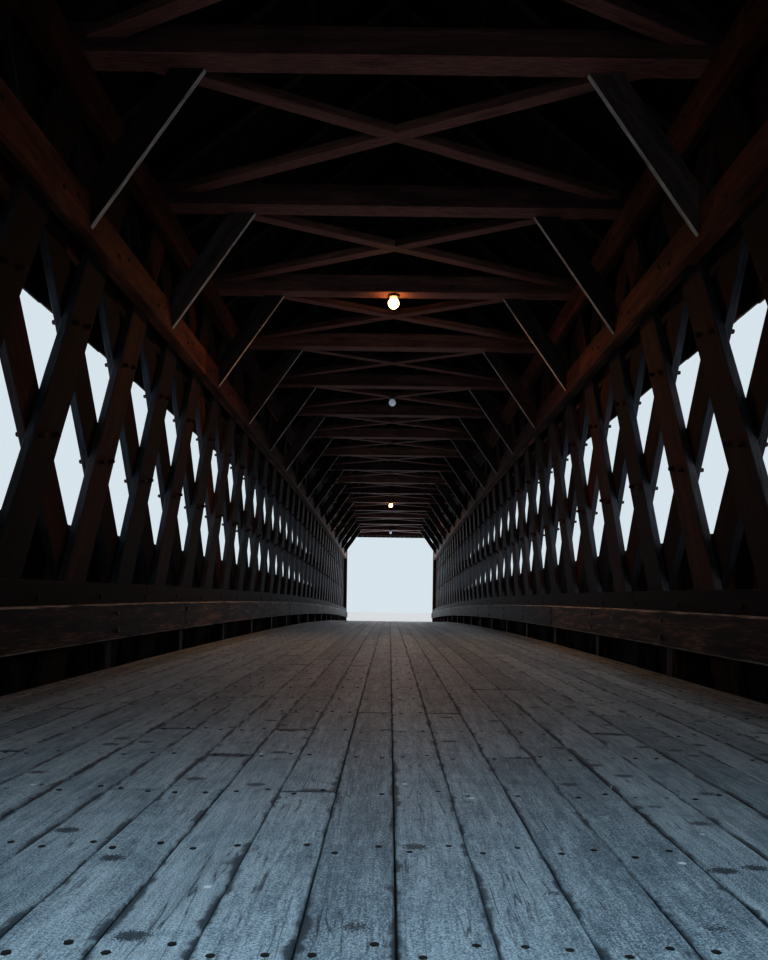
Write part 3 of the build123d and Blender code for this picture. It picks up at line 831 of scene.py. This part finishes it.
# %% Running planks
PLANK_PITCH = 0.0998
PLANK_GAP = 0.002
PLANK_BUTT_GAP = 0.0016
PLANK_EASE = 0.0018
PLANK_BOW = 0.0009
PLANK_BEARERS = 8
PLANK_STATIONS = 28
MOST_SINK = 0.0012
SEAM_SHIFT = 0.011
BEARER_PITCH = PANEL / 2
deck_half = span("deck_planks", 0)[1]
deck_low, deck_high = levels("deck_planks")


def deck_wood():
    """Worn, greyed softwood.

    The colour is a ramp over four noises: fibres and bands stretched along the plank, patches
    a hand wide and a sandy speckle. On it lie dark drying cracks where a long noise passes one
    half, dark smudges in the cells of a Voronoi pattern, ragged grime along seams and joints,
    where rim or tip and the patches add up to enough, and a few pale flecks of grit.
    """
    material, add = new_material("weathered hemlock deck")
    grain = add("Attribute", attribute_name="grain").outputs["Vector"]
    tone = add("Attribute", attribute_name="tone").outputs["Fac"]
    fine = add("Mapping", {"Vector": grain, "Scale": (16.0, 260.0, 260.0)})
    fibres = add("TexNoise", {"Vector": fine, "Scale": 1.0, "Detail": 4.0, "Roughness": 0.7})
    wide = add("Mapping", {"Vector": grain, "Scale": (3.0, 34.0, 34.0)})
    bands = add("TexNoise", {"Vector": wide, "Scale": 1.0, "Detail": 3.0, "Distortion": 1.4})
    patches = add(
        "TexNoise",
        {"Vector": grain, "Scale": 7.0, "Detail": 5.0, "Roughness": 0.7, "Distortion": 0.8},
    )
    speckle = add("TexNoise", {"Vector": grain, "Scale": 420.0, "Detail": 2.0, "Roughness": 0.8})
    total = add("Math", {0: tone, 1: 0.12, 2: -0.06}, operation="MULTIPLY_ADD")
    for layer, share in ((fibres, 0.45), (bands, 0.32), (patches, 0.5), (speckle, 1.1)):
        total = add("Math", {0: layer, 1: share, 2: total}, operation="MULTIPLY_ADD")
    shown = add("Math", {0: total, 1: 0.685}, operation="SUBTRACT")
    colour = ramp(add, shown, [(0.34, "#44545d"), (0.46, "#6f8089"), (0.56, "#91a0a8"), (0.7, "#bcc8cd")])

    long = add("Mapping", {"Vector": grain, "Scale": (1.6, 30.0, 30.0)})
    lines = add("TexNoise", {"Vector": long, "Scale": 1.0, "Detail": 3.0, "Roughness": 0.55})
    off = add("Math", {0: lines, 1: 0.5}, operation="SUBTRACT")
    near = add("Math", {0: off}, operation="ABSOLUTE")
    crack = add("MapRange", {"Value": near, "From Max": 0.016, "To Min": 0.95, "To Max": 0.0})
    broken = add("MapRange", {"Value": patches, "From Min": 0.47, "From Max": 0.57})
    cracked = add("Math", {0: crack, 1: broken}, operation="MULTIPLY")

    cells = add("Mapping", {"Vector": grain, "Scale": (13.0, 9.0, 9.0)})
    cell = add("TexVoronoi", {"Vector": cells, "Scale": 1.0})
    ragged = add("Math", {0: speckle, 1: 0.34, 2: cell}, operation="MULTIPLY_ADD")
    smudge = add(
        "MapRange",
        {"Value": ragged, "From Min": 0.33, "From Max": 0.37, "To Min": 0.9, "To Max": 0.0},
    )
    cell_shade = add("SeparateXYZ", {"Vector": cell.outputs["Color"]})
    stained_cell = add("Math", {0: cell_shade, 1: 0.4}, operation="GREATER_THAN")
    smudge = add("Math", {0: smudge, 1: stained_cell}, operation="MULTIPLY")
    rim = add("Attribute", attribute_name="rim").outputs["Fac"]
    rim_share = add("Math", {0: rim}, operation="ABSOLUTE")
    tip = add("Attribute", attribute_name="tip").outputs["Fac"]
    edge = add("Math", {0: rim_share, 1: tip}, operation="MAXIMUM")
    grimy = add("Math", {0: patches, 1: 1.3, 2: edge}, operation="MULTIPLY_ADD")
    grimy = add("Math", {0: speckle, 1: 0.4, 2: grimy}, operation="MULTIPLY_ADD")
    grime = add("MapRange", {"Value": grimy, "From Min": 1.77, "From Max": 1.87, "To Max": 0.95})
    blots = add("Math", {0: grime, 1: smudge}, operation="MAXIMUM")
    dark = add("Math", {0: cracked, 1: blots}, operation="MAXIMUM")
    damp = add("MapRange", {"Value": patches, "From Min": 0.55, "From Max": 0.74, "To Max": 0.55})
    worst = add("Math", {0: dark, 1: damp}, operation="MAXIMUM")
    stained = add("Mix", {"Factor": worst, "A": colour, "B": linear("#0f242e")}, data_type="RGBA")

    grit = add("TexVoronoi", {"Vector": grain, "Scale": 17.0})
    fleck = add(
        "MapRange", {"Value": grit, "From Min": 0.07, "From Max": 0.11, "To Min": 1.0, "To Max": 0.0}
    )
    chosen = add("SeparateXYZ", {"Vector": grit.outputs["Color"]})
    rare = add("Math", {0: chosen, 1: 0.9}, operation="GREATER_THAN")
    flecked = add("Math", {0: fleck, 1: rare}, operation="MULTIPLY")
    final = add("Mix", {"Factor": flecked, "A": stained, "B": linear("#dfe6ea")}, data_type="RGBA")

    grit_height = add("Math", {0: fibres, 1: 0.5, 2: speckle}, operation="MULTIPLY_ADD")
    sunk = add("Math", {0: crack, 1: -0.5, 2: grit_height}, operation="MULTIPLY_ADD")
    bump = add("Bump", {"Height": sunk, "Strength": 0.7, "Distance": 0.0012})
    looks = {"Base Color": final, "Roughness": 0.6, "Specular IOR Level": 0.45, "Normal": bump}
    add("OutputMaterial", {"Surface": add("BsdfPrincipled", looks)})
    return material


# Deck hemlock: blue-grey and sandy near by, with dark cracks, blots and seams.
deck_material = deck_wood()
seams_each_side = int((deck_half - SEAM_SHIFT) / PLANK_PITCH)
seams = np.arange(-seams_each_side, seams_each_side + 1) * PLANK_PITCH + SEAM_SHIFT
row_edges = np.concatenate([[-deck_half], seams, [deck_half]])
deck_rows = []
chance = np.random.default_rng(400)
row_starts = chance.integers(1, PLANK_BEARERS + 1, len(row_edges) - 1)
for number, (x0, x1) in enumerate(zip(row_edges, row_edges[1:])):
    first_plank = TRUSS_END - HALF_LENGTH + row_starts[number] * BEARER_PITCH
    y = butted(PLANK_BEARERS * BEARER_PITCH, first_plank, PLANK_STATIONS, gap=PLANK_BUTT_GAP)
    sink = chance.uniform(0, MOST_SINK, len(y))
    planks = lengthwise(
        (x0 + x1) / 2, deck_low, deck_high - sink, y, x1 - x0 - PLANK_GAP,
        ease=PLANK_EASE, seed=410 + number, bow=PLANK_BOW,
    )
    deck_rows.append(planks)
make_piece("deck_plank_timbers", joined(deck_rows), ["deck_planks"], deck_material)


# %% Round heads for nails, bolts and wooden pins
SHOULDER = 0.6


def studs(centres, axis, radius, height, sides=6, sink=0.002, round_over=0.75, seed=0):
    """Round heads: rings of points at the foot, the shoulder and the crown along x, y or z.

    Ring j has the points centre + axis * h_j + r_j * (cos a * u + sin a * v), a = 2 pi k / sides.
    """
    chance = np.random.default_rng(seed)
    axis = np.asarray(axis, float)
    u = np.roll(axis, 1)
    v = np.cross(axis, u)
    angle = np.arange(sides) * 2 * math.pi / sides + chance.uniform(0, 6, (len(centres), 1))
    ring = np.cos(angle)[..., None] * u + np.sin(angle)[..., None] * v
    heights = np.array([-sink, height * SHOULDER, height])
    radii = np.array([1.0, 1.0, round_over]) * radius
    offsets = heights[:, None, None] * axis + radii[:, None, None] * ring[:, None]
    points = centres[:, None, None] + offsets
    grain = points - centres[:, None, None] + chance.uniform(0, 40, (len(centres), 1, 1, 3))
    tone = np.repeat(chance.uniform(0, 1, len(centres)), 3 * sides)
    return {
        "points": points.reshape(-1, 3),
        "faces": tube_faces(len(centres), 3, sides),
        "grain": grain.reshape(-1, 3),
        "tone": tone,
    }


def plain_metal(name, shades, rough, metallic, grit):
    """Metal with a mottled surface: noise between two colours, and the same noise as bump."""
    material, add = new_material(name)
    place = add("TexCoord").outputs["Object"]
    mottle = add("TexNoise", {"Vector": place, "Scale": 1 / grit, "Detail": 4.0})
    colour = ramp(add, mottle, shades)
    bump = add("Bump", {"Height": mottle, "Strength": 0.4, "Distance": 0.0006})
    looks = {"Base Color": colour, "Metallic": metallic, "Roughness": rough, "Normal": bump}
    add("OutputMaterial", {"Surface": add("BsdfPrincipled", looks)})
    return material


# Nail heads: almost black dots, dull with rust; their black also paints the shade of the sunk
# holes round them.
nail_steel_and_hole_shade = plain_metal("rusted cut steel with painted hole shade", [(0.35, "#0d0e10"), (0.7, "#241f1d")], 0.75, 0.6, 0.004)

# %% Nails in the deck
NAIL_RADIUS = 0.0052
NAIL_SPREAD = 0.27
NAIL_STAGGER = 0.012
NAIL_SCATTER = 0.004
NAIL_SINK = 0.0008
NAIL_HEIGHT = 0.0012
MISSING_NAILS = 0.06
bearers = np.arange(1, 2 * PANELS) * BEARER_PITCH - HALF_LENGTH
row_middle = (row_edges[1:] + row_edges[:-1]) / 2
row_width = row_edges[1:] - row_edges[:-1]
chance = np.random.default_rng(450)
shape = (len(bearers), len(row_middle))
nails = []
for hand in (-1, 1):
    x = row_middle + hand * NAIL_SPREAD * row_width + chance.normal(0, NAIL_SCATTER, shape)
    stagger = hand * NAIL_STAGGER * np.sign(chance.uniform(-0.4, 1, shape))
    y = bearers[:, None] + stagger + chance.normal(0, NAIL_SCATTER, shape)
    nails.append(line(x, y, -NAIL_SINK).reshape(-1, 3))
nails = np.concatenate(nails)
nails = nails[chance.uniform(0, 1, len(nails)) > MISSING_NAILS]
heads = studs(nails, (0, 0, 1), NAIL_RADIUS, NAIL_HEIGHT, seed=460)
make_piece("deck_nails", heads, [], nail_steel_and_hole_shade)

# %% Cross layer, floor beams and the timbers below
# Floor timbers: brown-grey hemlock that stays out of the rain, duller than the deck above.
floor_wood = sawn_wood(
    "aged hemlock, floor timbers",
    [(0.2, "#130d0a"), (0.45, "#241a14"), (0.62, "#372a21"), (0.85, "#514439")],
)
LAYER_BOARD = 0.12
LAYER_GAP = 0.002
layer_low, layer_high = levels("deck_underlayer")
layer_edges = np.linspace(-TRUSS_END, TRUSS_END, int(2 * TRUSS_END / LAYER_BOARD))
layer_y = (layer_edges[1:] + layer_edges[:-1]) / 2


def crosswise(y, reach, low, high, width, seed, ease):
    """Timbers that run across the bridge at the places y."""
    path = line([-reach, reach], y[:, None], (low + high) / 2)
    return timbers(path, (0, 1, 0), (0, 0, 1), width, high - low, ease=ease, seed=seed)


layer_width = layer_edges[1] - layer_edges[0] - LAYER_GAP
layer_boards = crosswise(layer_y, deck_half, layer_low, layer_high, layer_width, 470, BOARD_EASE)
make_piece("deck_cross_boards", layer_boards, ["deck_underlayer"], floor_wood)
beam_low, beam_high = levels("floor_beams")
BEAM_WIDTH = 0.1
beam_y = panel_y[:-1] + PANEL / 2 + CROSSING_SHIFT
end_beam_y = np.array([-1, 1]) * (TRUSS_END - BEAM_WIDTH / 2)
beams = [
    crosswise(y, reach, beam_low, beam_high, BEAM_WIDTH, seed, BEAM_EASE)
    for y, reach, seed in ((beam_y, CHORD_OUTSIDE, 480), (end_beam_y, LATTICE_INSIDE, 481))
]
make_piece("floor_beam_timbers", joined(beams), ["floor_beams"], floor_wood)

BED_WIDTH = 0.15
BED_SPACING = 0.3
bed_reach = span("bed_timbers", 0)[1]
bed_offset = TRUSS_END - BED_WIDTH / 2 - np.array([0, BED_SPACING])
bed_y = np.concatenate([-bed_offset, bed_offset])
bed_top = deck_z(bed_y) + levels("bottom_chord_right")[0]
bed_path = line([-bed_reach, bed_reach], bed_y[:, None], (bed_top / 2 - deck_z(bed_y))[:, None])
beds = timbers(bed_path, (0, 1, 0), (0, 0, 1), BED_WIDTH, bed_top, ease=BEAM_EASE, seed=490)
make_piece("bed_timber_beams", beds, ["bed_timbers"], floor_wood)

LOWER_BRACE_WIDTH = 0.08
LOWER_BRACE_DEPTH = 0.06
WALL_CLEARANCE = 0.001
lower_y0 = tie_y[:-1] + LOWER_BRACE_WIDTH
lower_y1 = tie_y[1:] - LOWER_BRACE_WIDTH
lower_cut = LOWER_BRACE_WIDTH * math.hypot(2 * INNER_FACE, lower_y1[0] - lower_y0[0]) / (2 * INNER_FACE)
lower_through, lower_halves = crossed(
    np.full(len(lower_y0), -INNER_FACE + WALL_CLEARANCE),
    lower_y0 + lower_cut / 2, lower_y1 - lower_cut / 2,
    FIRST_ROW, LOWER_BRACE_WIDTH, LOWER_BRACE_DEPTH, end_cut=(0, 1), seed=500,
)
lower_shape = joined([lower_through, lower_halves])
make_piece("lower_brace_timbers", lower_shape, ["lower_braces"], floor_wood)

# %% [markdown]
# ## Guard rails
# A heavy rail runs along each side at wheel height, bolted through the chord behind it. Its
# edges are rubbed round, so they are eased more than elsewhere. Short posts stand behind it.

# %% Guard rails, posts and bolts
# Oak rail: strong dark and light figure, big knots, and a pale top and underside: partly rubbed
# wear, partly a painted highlight.
rail_wood = sawn_wood(
    "worn oak guard rail",
    [(0.38, "#070403"), (0.47, "#1a0f0a"), (0.56, "#38231a"), (0.68, "#75513c")],
    fibre=0.006, band=0.03, knots=0.95, checks=0.8, rough=0.7, relief=0.0018, tone_share=0.1,
    worn_and_lit="#b9aa9c",
)
# Bolt heads: worn steel that gives small dull glints.
bolt_steel = plain_metal("forged steel bolts", [(0.3, "#1d1a18"), (0.7, "#4a423c")], 0.5, 0.8, 0.006)
RAIL_LENGTH = 8 * PANEL
RAIL_STATIONS = 40
RAIL_EASE = 0.006
RAIL_BOW = 0.001
RAIL_POST_WIDTH = 0.07
BOLT_RADIUS = 0.011
BOLT_HEIGHT = 0.006
BOLT_EDGE = 0.04
bolts = []
for side_name, side in SIDES.items():
    node = f"guard_rail_{side_name}"
    low, high = levels(node)
    rail_inside, rail_back = sorted(np.abs(span(node, 0)))
    y = butted(RAIL_LENGTH, PANEL * (3.5 + side), RAIL_STATIONS)
    rail = lengthwise(
        side * (rail_inside + rail_back) / 2, low, high, y, rail_back - rail_inside,
        ease=RAIL_EASE, seed=510 + side, bow=RAIL_BOW,
    )
    make_piece(f"guard_rail_timbers_{side_name}", rail, [node], rail_wood)
    post_low, post_high = levels(f"rail_posts_{side_name}")
    rail_post_y = panel_y[:-1:BAY_PANELS] + PANEL / 2
    rail_post_path = line(
        side * (INNER_FACE + LATTICE_INSIDE) / 2, rail_post_y[:, None], [post_low, post_high]
    )
    rail_posts = timbers(
        rail_post_path, (1, 0, 0), (0, 1, 0), LATTICE_INSIDE - INNER_FACE, RAIL_POST_WIDTH, seed=520 + side
    )
    node = f"rail_posts_{side_name}"
    make_piece(f"rail_post_timbers_{side_name}", rail_posts, [node], rail_wood)
    bolt_level = np.tile([low + BOLT_EDGE, high - BOLT_EDGE], len(rail_post_y))
    centres = line(side * rail_inside, np.repeat(rail_post_y, 2), bolt_level)
    bolts.append(studs(centres, (-side, 0, 0), BOLT_RADIUS, BOLT_HEIGHT, sides=8, seed=530 + side))
make_piece("rail_bolts", joined(bolts), [], bolt_steel)

# %% [markdown]
# ## Wooden pins
# The lattice holds by friction and by turned oak pins, driven through both layers at each
# crossing and left a little long. They come in pairs. At a chord only the roadway side shows them.

# %% Pins at the crossings
# Oak pins: end grain a little lighter than the planks, so their ends show as small bumps.
pin_wood = sawn_wood(
    "turned oak pins",
    [(0.2, "#1a0e09"), (0.5, "#301a10"), (0.8, "#4a2c1d")],
    fibre=0.003, knots=0.0, checks=0.2,
)
PIN_RADIUS = 0.0105
PIN_PROUD = 0.02
CHORD_PIN_PROUD = 0.005
PIN_SPREAD = 0.062
PIN_END_MARGIN = 0.1
CHORD_PIN_LIFT = 0.3 * PIN_SPREAD
PIN_LIFT = 0.2 * PIN_SPREAD
chord_rows = (0, 1, ROWS - 2, ROWS - 1)
for side_name, side in SIDES.items():
    pins = []
    for row in range(ROWS):
        on_chord = row in chord_rows
        y = (np.arange(PANELS + 1) + 0.5 * (row % 2)) * PANEL - HALF_LENGTH + CROSSING_SHIFT
        y = y[np.abs(y) < HALF_LENGTH - PIN_END_MARGIN]
        proud = CHORD_PIN_PROUD if on_chord else PIN_PROUD
        faces = ((INNER_FACE, -side),) if on_chord else ((LATTICE_INSIDE, -side), (LATTICE_OUTSIDE, side))
        for number, hand in enumerate((-1, 1)):
            drift = hand * (CROSSING_LIFT / PLANK_SLOPE if on_chord else PIN_SPREAD)
            lift = hand * CHORD_PIN_LIFT if on_chord else CROSSING_LIFT + hand * PIN_LIFT
            for face, direction in faces:
                centres = line(side * face, y + drift, FIRST_ROW + row * ROW_RISE + lift)
                seed = 600 + row * 8 + 4 * number + (2 if direction > 0 else 0)
                pairs = studs(centres, (direction, 0, 0), PIN_RADIUS, proud, 8, round_over=0.85, seed=seed)
                pins.append(pairs)
    make_piece(f"lattice_pins_{side_name}", joined(pins), [], pin_wood)

# %% [markdown]
# ## Boarding
# The sides are closed with upright boards in two bands, with an open strip between them that
# lights the roadway. The ends are boarded beside and above the way in. The side boards differ in
# width, and gaps have opened between all of them.

# %% Side boards
# Pine boarding: dull red-brown, board by board different.
board_wood = sawn_wood(
    "weathered pine boarding",
    [(0.2, "#120804"), (0.42, "#22110a"), (0.6, "#351b10"), (0.85, "#52301f")],
    fibre=0.005, knots=0.6, checks=0.5, stain="#120a07",
)
BOARD_WIDTH = 0.125
BOARD_GAP = 0.0022
BOARD_CLEARANCE = 0.001
BOARD_SPREAD = 0.3
FOOT_SCATTER = 0.006
HEAD_SCATTER = 0.002


def upright(x, y0, y1, low, high, thickness, seed):
    """Upright boards on the sides between y0 and y1, from one level to another."""
    y = (y0 + y1) / 2
    path = line(x, y[:, None], low[:, None] + (high - low)[:, None] * np.linspace(0, 1, 4))
    return timbers(path, (0, 1, 0), (1, 0, 0), y1 - y0 - BOARD_GAP, thickness, ease=BOARD_EASE, seed=seed)


for side_name, side in SIDES.items():
    for band_number, band in enumerate(("lower", "upper")):
        node = f"siding_{band}_{side_name}"
        chance = np.random.default_rng(700 + side + 3 * band_number)
        count = int(2 * TRUSS_END / BOARD_WIDTH)
        steps = np.cumsum(chance.uniform(1 - BOARD_SPREAD, 1 + BOARD_SPREAD, count))
        edges = np.concatenate([[0], steps / steps[-1]]) * 2 * TRUSS_END - TRUSS_END
        low, high = levels(node)
        foot = low + chance.uniform(0, FOOT_SCATTER, len(edges) - 1)
        head = high - chance.uniform(0, HEAD_SCATTER, len(edges) - 1)
        x = side * (CHORD_OUTSIDE + SIDING_OUTSIDE) / 2
        thickness = SIDING_OUTSIDE - CHORD_OUTSIDE - BOARD_CLEARANCE
        boards = upright(x, edges[:-1], edges[1:], foot, head, thickness, seed=710 + side)
        make_piece(f"side_boards_{band}_{side_name}", boards, [node], board_wood)

# %% End walls
jamb_low, jamb_high = levels("portal_jambs")
gable_low, gable_high = levels("portal_gables")
portal_outside = span("portal_jambs", 1)[1]
portal_middle = (TRUSS_END + portal_outside) / 2
opening_half = np.abs(cad_points("portal_jambs")[:, 0]).min()
end_board_thickness = portal_outside - TRUSS_END - BOARD_CLEARANCE


def end_boards(inner, count, low, top, fall, seed):
    """Upright boards of both ends from x = inner out. Their tops lie at top - fall * x."""
    bundles = []
    for end in (-1, 1):
        for side in SIDES.values():
            edges = np.linspace(inner, SIDING_OUTSIDE, count + 1)
            middle = (edges[1:] + edges[:-1])[:, None] / 2
            path = np.zeros((count, 3, 3))
            path[..., 0] = side * middle
            path[..., 1] = end * portal_middle
            height = (top - fall * middle - low) * np.linspace(0, 1, 3)
            path[..., 2] = deck_z(end * TRUSS_END) + low + height
            across = np.broadcast_to([[1, 0, 0], [1, 0, 0], [1, 0, -side * fall]], path.shape)
            width = np.diff(edges) - BOARD_GAP
            depth = end_board_thickness
            bundles.append(
                timbers(path, across, (0, 1, 0), width, depth, ease=BOARD_EASE, seed=seed + side + end)
            )
    return joined(bundles)


JAMB_GAP = 0.0015
jambs = end_boards(opening_half, 2, jamb_low, jamb_high - JAMB_GAP, 0, 740)
make_piece("portal_board_jambs", jambs, ["portal_jambs"], board_wood)
gables = end_boards(0, 11, gable_low, gable_high, PITCH, 750)
make_piece("portal_board_gables", gables, ["portal_gables"], board_wood)

# %% [markdown]
# ## Lamps
# Round lamps hang below some ties. Two are lit, with warm light, and two are not: their opal
# glass has a faint painted glow for the daylight on it. Base and globe are turned shapes, a
# profile swept round an axis.

# %% Lamp bases and globes
LAMP_PANELS = (12, 17, 30, 38)
LIT_LAMPS = (12, 30)
NECK_ANGLE = 0.35
POLE_ANGLE = 0.02


def turned(profile, centres, sides=24):
    """Turned solids: every point (r, h) of the profile goes round the upright axis."""
    profile = np.asarray(profile, float)
    angle = -np.arange(sides) * 2 * math.pi / sides
    ring = np.stack([np.cos(angle), np.sin(angle), np.zeros(sides)], -1)
    rings = profile[:, None, :1] * ring[None] + profile[:, None, 1:] * np.array([0, 0, 1.0])
    points = (centres[:, None, None] + rings[None]).reshape(-1, 3)
    return {
        "points": points,
        "faces": tube_faces(len(centres), len(profile), sides),
        "grain": points.copy(),
        "tone": np.full(len(points), 0.5),
    }


globe_points = cad_points("lamp_globes")
lamp_y = np.array(LAMP_PANELS) * PANEL - HALF_LENGTH
globe_z = [globe_points[np.abs(globe_points[:, 1] - y) < 0.1, 2] for y in lamp_y]
lamp_top = np.array([z.max() for z in globe_z])
globe_radius = np.abs(globe_points[:, 0]).max()
globe_height = lamp_top[0] - globe_z[0].min()
polar = np.linspace(NECK_ANGLE, math.pi - POLE_ANGLE, 16)
globe_profile = np.stack([globe_radius * np.sin(polar), globe_height / 2 * (np.cos(polar) - 1)], -1)
lamp_centres = np.stack([0 * lamp_y, lamp_y, lamp_top], -1)
lit = np.isin(LAMP_PANELS, LIT_LAMPS)


def lamp_glass(name, colour, glow, strength):
    """Opal glass: a white, slightly glossy body, with its own light where the lamp is lit."""
    # An unlit globe glows faintly too: painted light, the daylight on its glass.
    material, add = new_material(name)
    place = add("TexCoord").outputs["Object"]
    cloud = add("TexNoise", {"Vector": place, "Scale": 60.0, "Detail": 2.0})
    bump = add("Bump", {"Height": cloud, "Strength": 0.1, "Distance": 0.0005})
    looks = {"Base Color": linear(colour), "Roughness": 0.18, "Normal": bump}
    light = {"Emission Color": linear(glow), "Emission Strength": strength}
    add("OutputMaterial", {"Surface": add("BsdfPrincipled", {**looks, **light})})
    return material


# Opal glass: a warm bright ball where the lamp is lit, a cool grey one where it is not, with a
# faint painted glow of daylight.
lit_glass = lamp_glass("opal glass, lit", "#ffe9c8", "#ffb060", 32.0)
unlit_glass_painted_glow = lamp_glass("opal glass, unlit, with painted glow", "#e8eef2", "#b9cbe0", 0.25)
for name, chosen, glass in (("lit", lit, lit_glass), ("unlit", ~lit, unlit_glass_painted_glow)):
    globes = turned(globe_profile, lamp_centres[chosen])
    make_piece(f"lamp_globes_{name}", globes, ["lamp_globes"], glass, smooth=True)
base_radius = np.abs(cad_points("lamp_bases")[:, 0]).max()
BASE_DEPTH = 0.02
base_profile = [(1, BASE_DEPTH), (1, 0.008), (0.93, 0.003), (0.72, 0.0)]
base_profile = [(base_radius * share, height) for share, height in base_profile] + [(0.012, -0.001)]
# Enamelled steel: smooth and black, a small dark cap over each globe.
lamp_paint = plain_metal("black enamelled steel", [(0.3, "#1b1b1c"), (0.7, "#2c2c2e")], 0.4, 0.0, 0.01)
bases = turned(base_profile, lamp_centres)
make_piece("lamp_base_plates", bases, ["lamp_bases"], lamp_paint)

# %% [markdown]
# ## Floor, backdrop and light
# The bridge stands on a plain pale floor. The sky is a plain pale backdrop for the camera and a
# soft white light for everything else. Two long soft lights lie in the open strips and one in
# each portal, so that the roadway is lit from where daylight enters it.

# %% Floor
floor_mesh = bpy.data.meshes.new("floor")
FLOOR_HALF = 150.0
corners = np.array([[-1, -1, 0], [1, -1, 0], [1, 1, 0], [-1, 1, 0]]) * FLOOR_HALF
floor_mesh.from_pydata(corners.tolist(), [], [(0, 1, 2, 3)])
# Matt white floor: plain and pale, it only carries the shadow of the bridge.
floor_material, add = new_material("matt white floor")
looks = {"Base Color": linear("#e9eaeb"), "Roughness": 0.9}
add("OutputMaterial", {"Surface": add("BsdfPrincipled", looks)})
floor_mesh.materials.append(floor_material)
floor_object = placed("floor", floor_mesh)

# %% World
world = bpy.data.worlds.new("pale_sky")
scene.world = world
add = adder(world)
path_kind = add("LightPath")
seen = add(
    "Math", {0: path_kind.outputs["Is Camera Ray"], 1: path_kind.outputs["Is Glossy Ray"]},
    operation="MAXIMUM",
)
soft = add("Background", {"Color": linear("#f4f7fb"), "Strength": 0.5})
pale = add("Background", {"Color": linear("#d6e3eb"), "Strength": 1.0})
mix = add("MixShader", {0: seen, 1: soft, 2: pale})
add("OutputWorld", {"Surface": mix})
print("world:", world.name)


# %% Lights
def area_light(name, place, direction, size_x, size_y, power, colour, spread=180.0):
    """A soft rectangular light that points along a direction and that the camera doesn't see."""
    light = bpy.data.lights.new(name, "AREA")
    light.shape = "RECTANGLE"
    light.size = size_x
    light.size_y = size_y
    light.energy = power
    light.color = linear(colour)[:3]
    light.spread = math.radians(spread)
    made = placed(name, light)
    made.location = place
    made.rotation_euler = direction
    made.visible_camera = False


strip_level = (levels("siding_lower_right")[1] + levels("siding_upper_right")[0]) / 2
strip_height = levels("siding_upper_right")[0] - levels("siding_lower_right")[1]
mid_z = float(deck_z(0)) + strip_level
quarter = math.pi / 2
STRIP_MIDDLE = 2.4
STRIP_POWER = 36.0
NEAR_PORTAL_POWER = 10.2
FAR_PORTAL_POWER = 64.0
LAMP_POWER = 14.0
GLOW_SIZE = 0.1
LIGHT_CLEARANCE = 0.02
for side_name, side in SIDES.items():
    area_light(
        f"strip_light_{side_name}",
        (side * (SIDING_OUTSIDE + LIGHT_CLEARANCE), STRIP_MIDDLE, mid_z),
        (quarter, 0, side * quarter),
        2 * (TRUSS_END - STRIP_MIDDLE), strip_height, STRIP_POWER, "#c6e0f8",
    )
area_light(
    "near_portal_light", (0, -TRUSS_END + 0.9, 2.35), (math.radians(30), 0, 0),
    1.1, 1.2, NEAR_PORTAL_POWER, "#b8def6", spread=60,
)
area_light(
    "far_portal_light", (0, TRUSS_END, 1.9), (math.radians(82), 0, math.pi),
    2.3, 2.2, FAR_PORTAL_POWER, "#dfecf8",
)

key = bpy.data.lights.new("soft_key", "SUN")
key.energy = 1.6
key.angle = math.radians(40)
key_object = placed("soft_key", key)
key_object.rotation_euler = (math.radians(42), math.radians(-12), math.radians(35))

for y, top in zip(lamp_y[lit], lamp_top[lit]):
    below = (0, y, top - globe_height - LIGHT_CLEARANCE / 2)
    area_light("lamp_glow", below, (0, 0, 0), GLOW_SIZE, GLOW_SIZE, LAMP_POWER, "#ffa860")
print("lights:", len(bpy.data.lights))
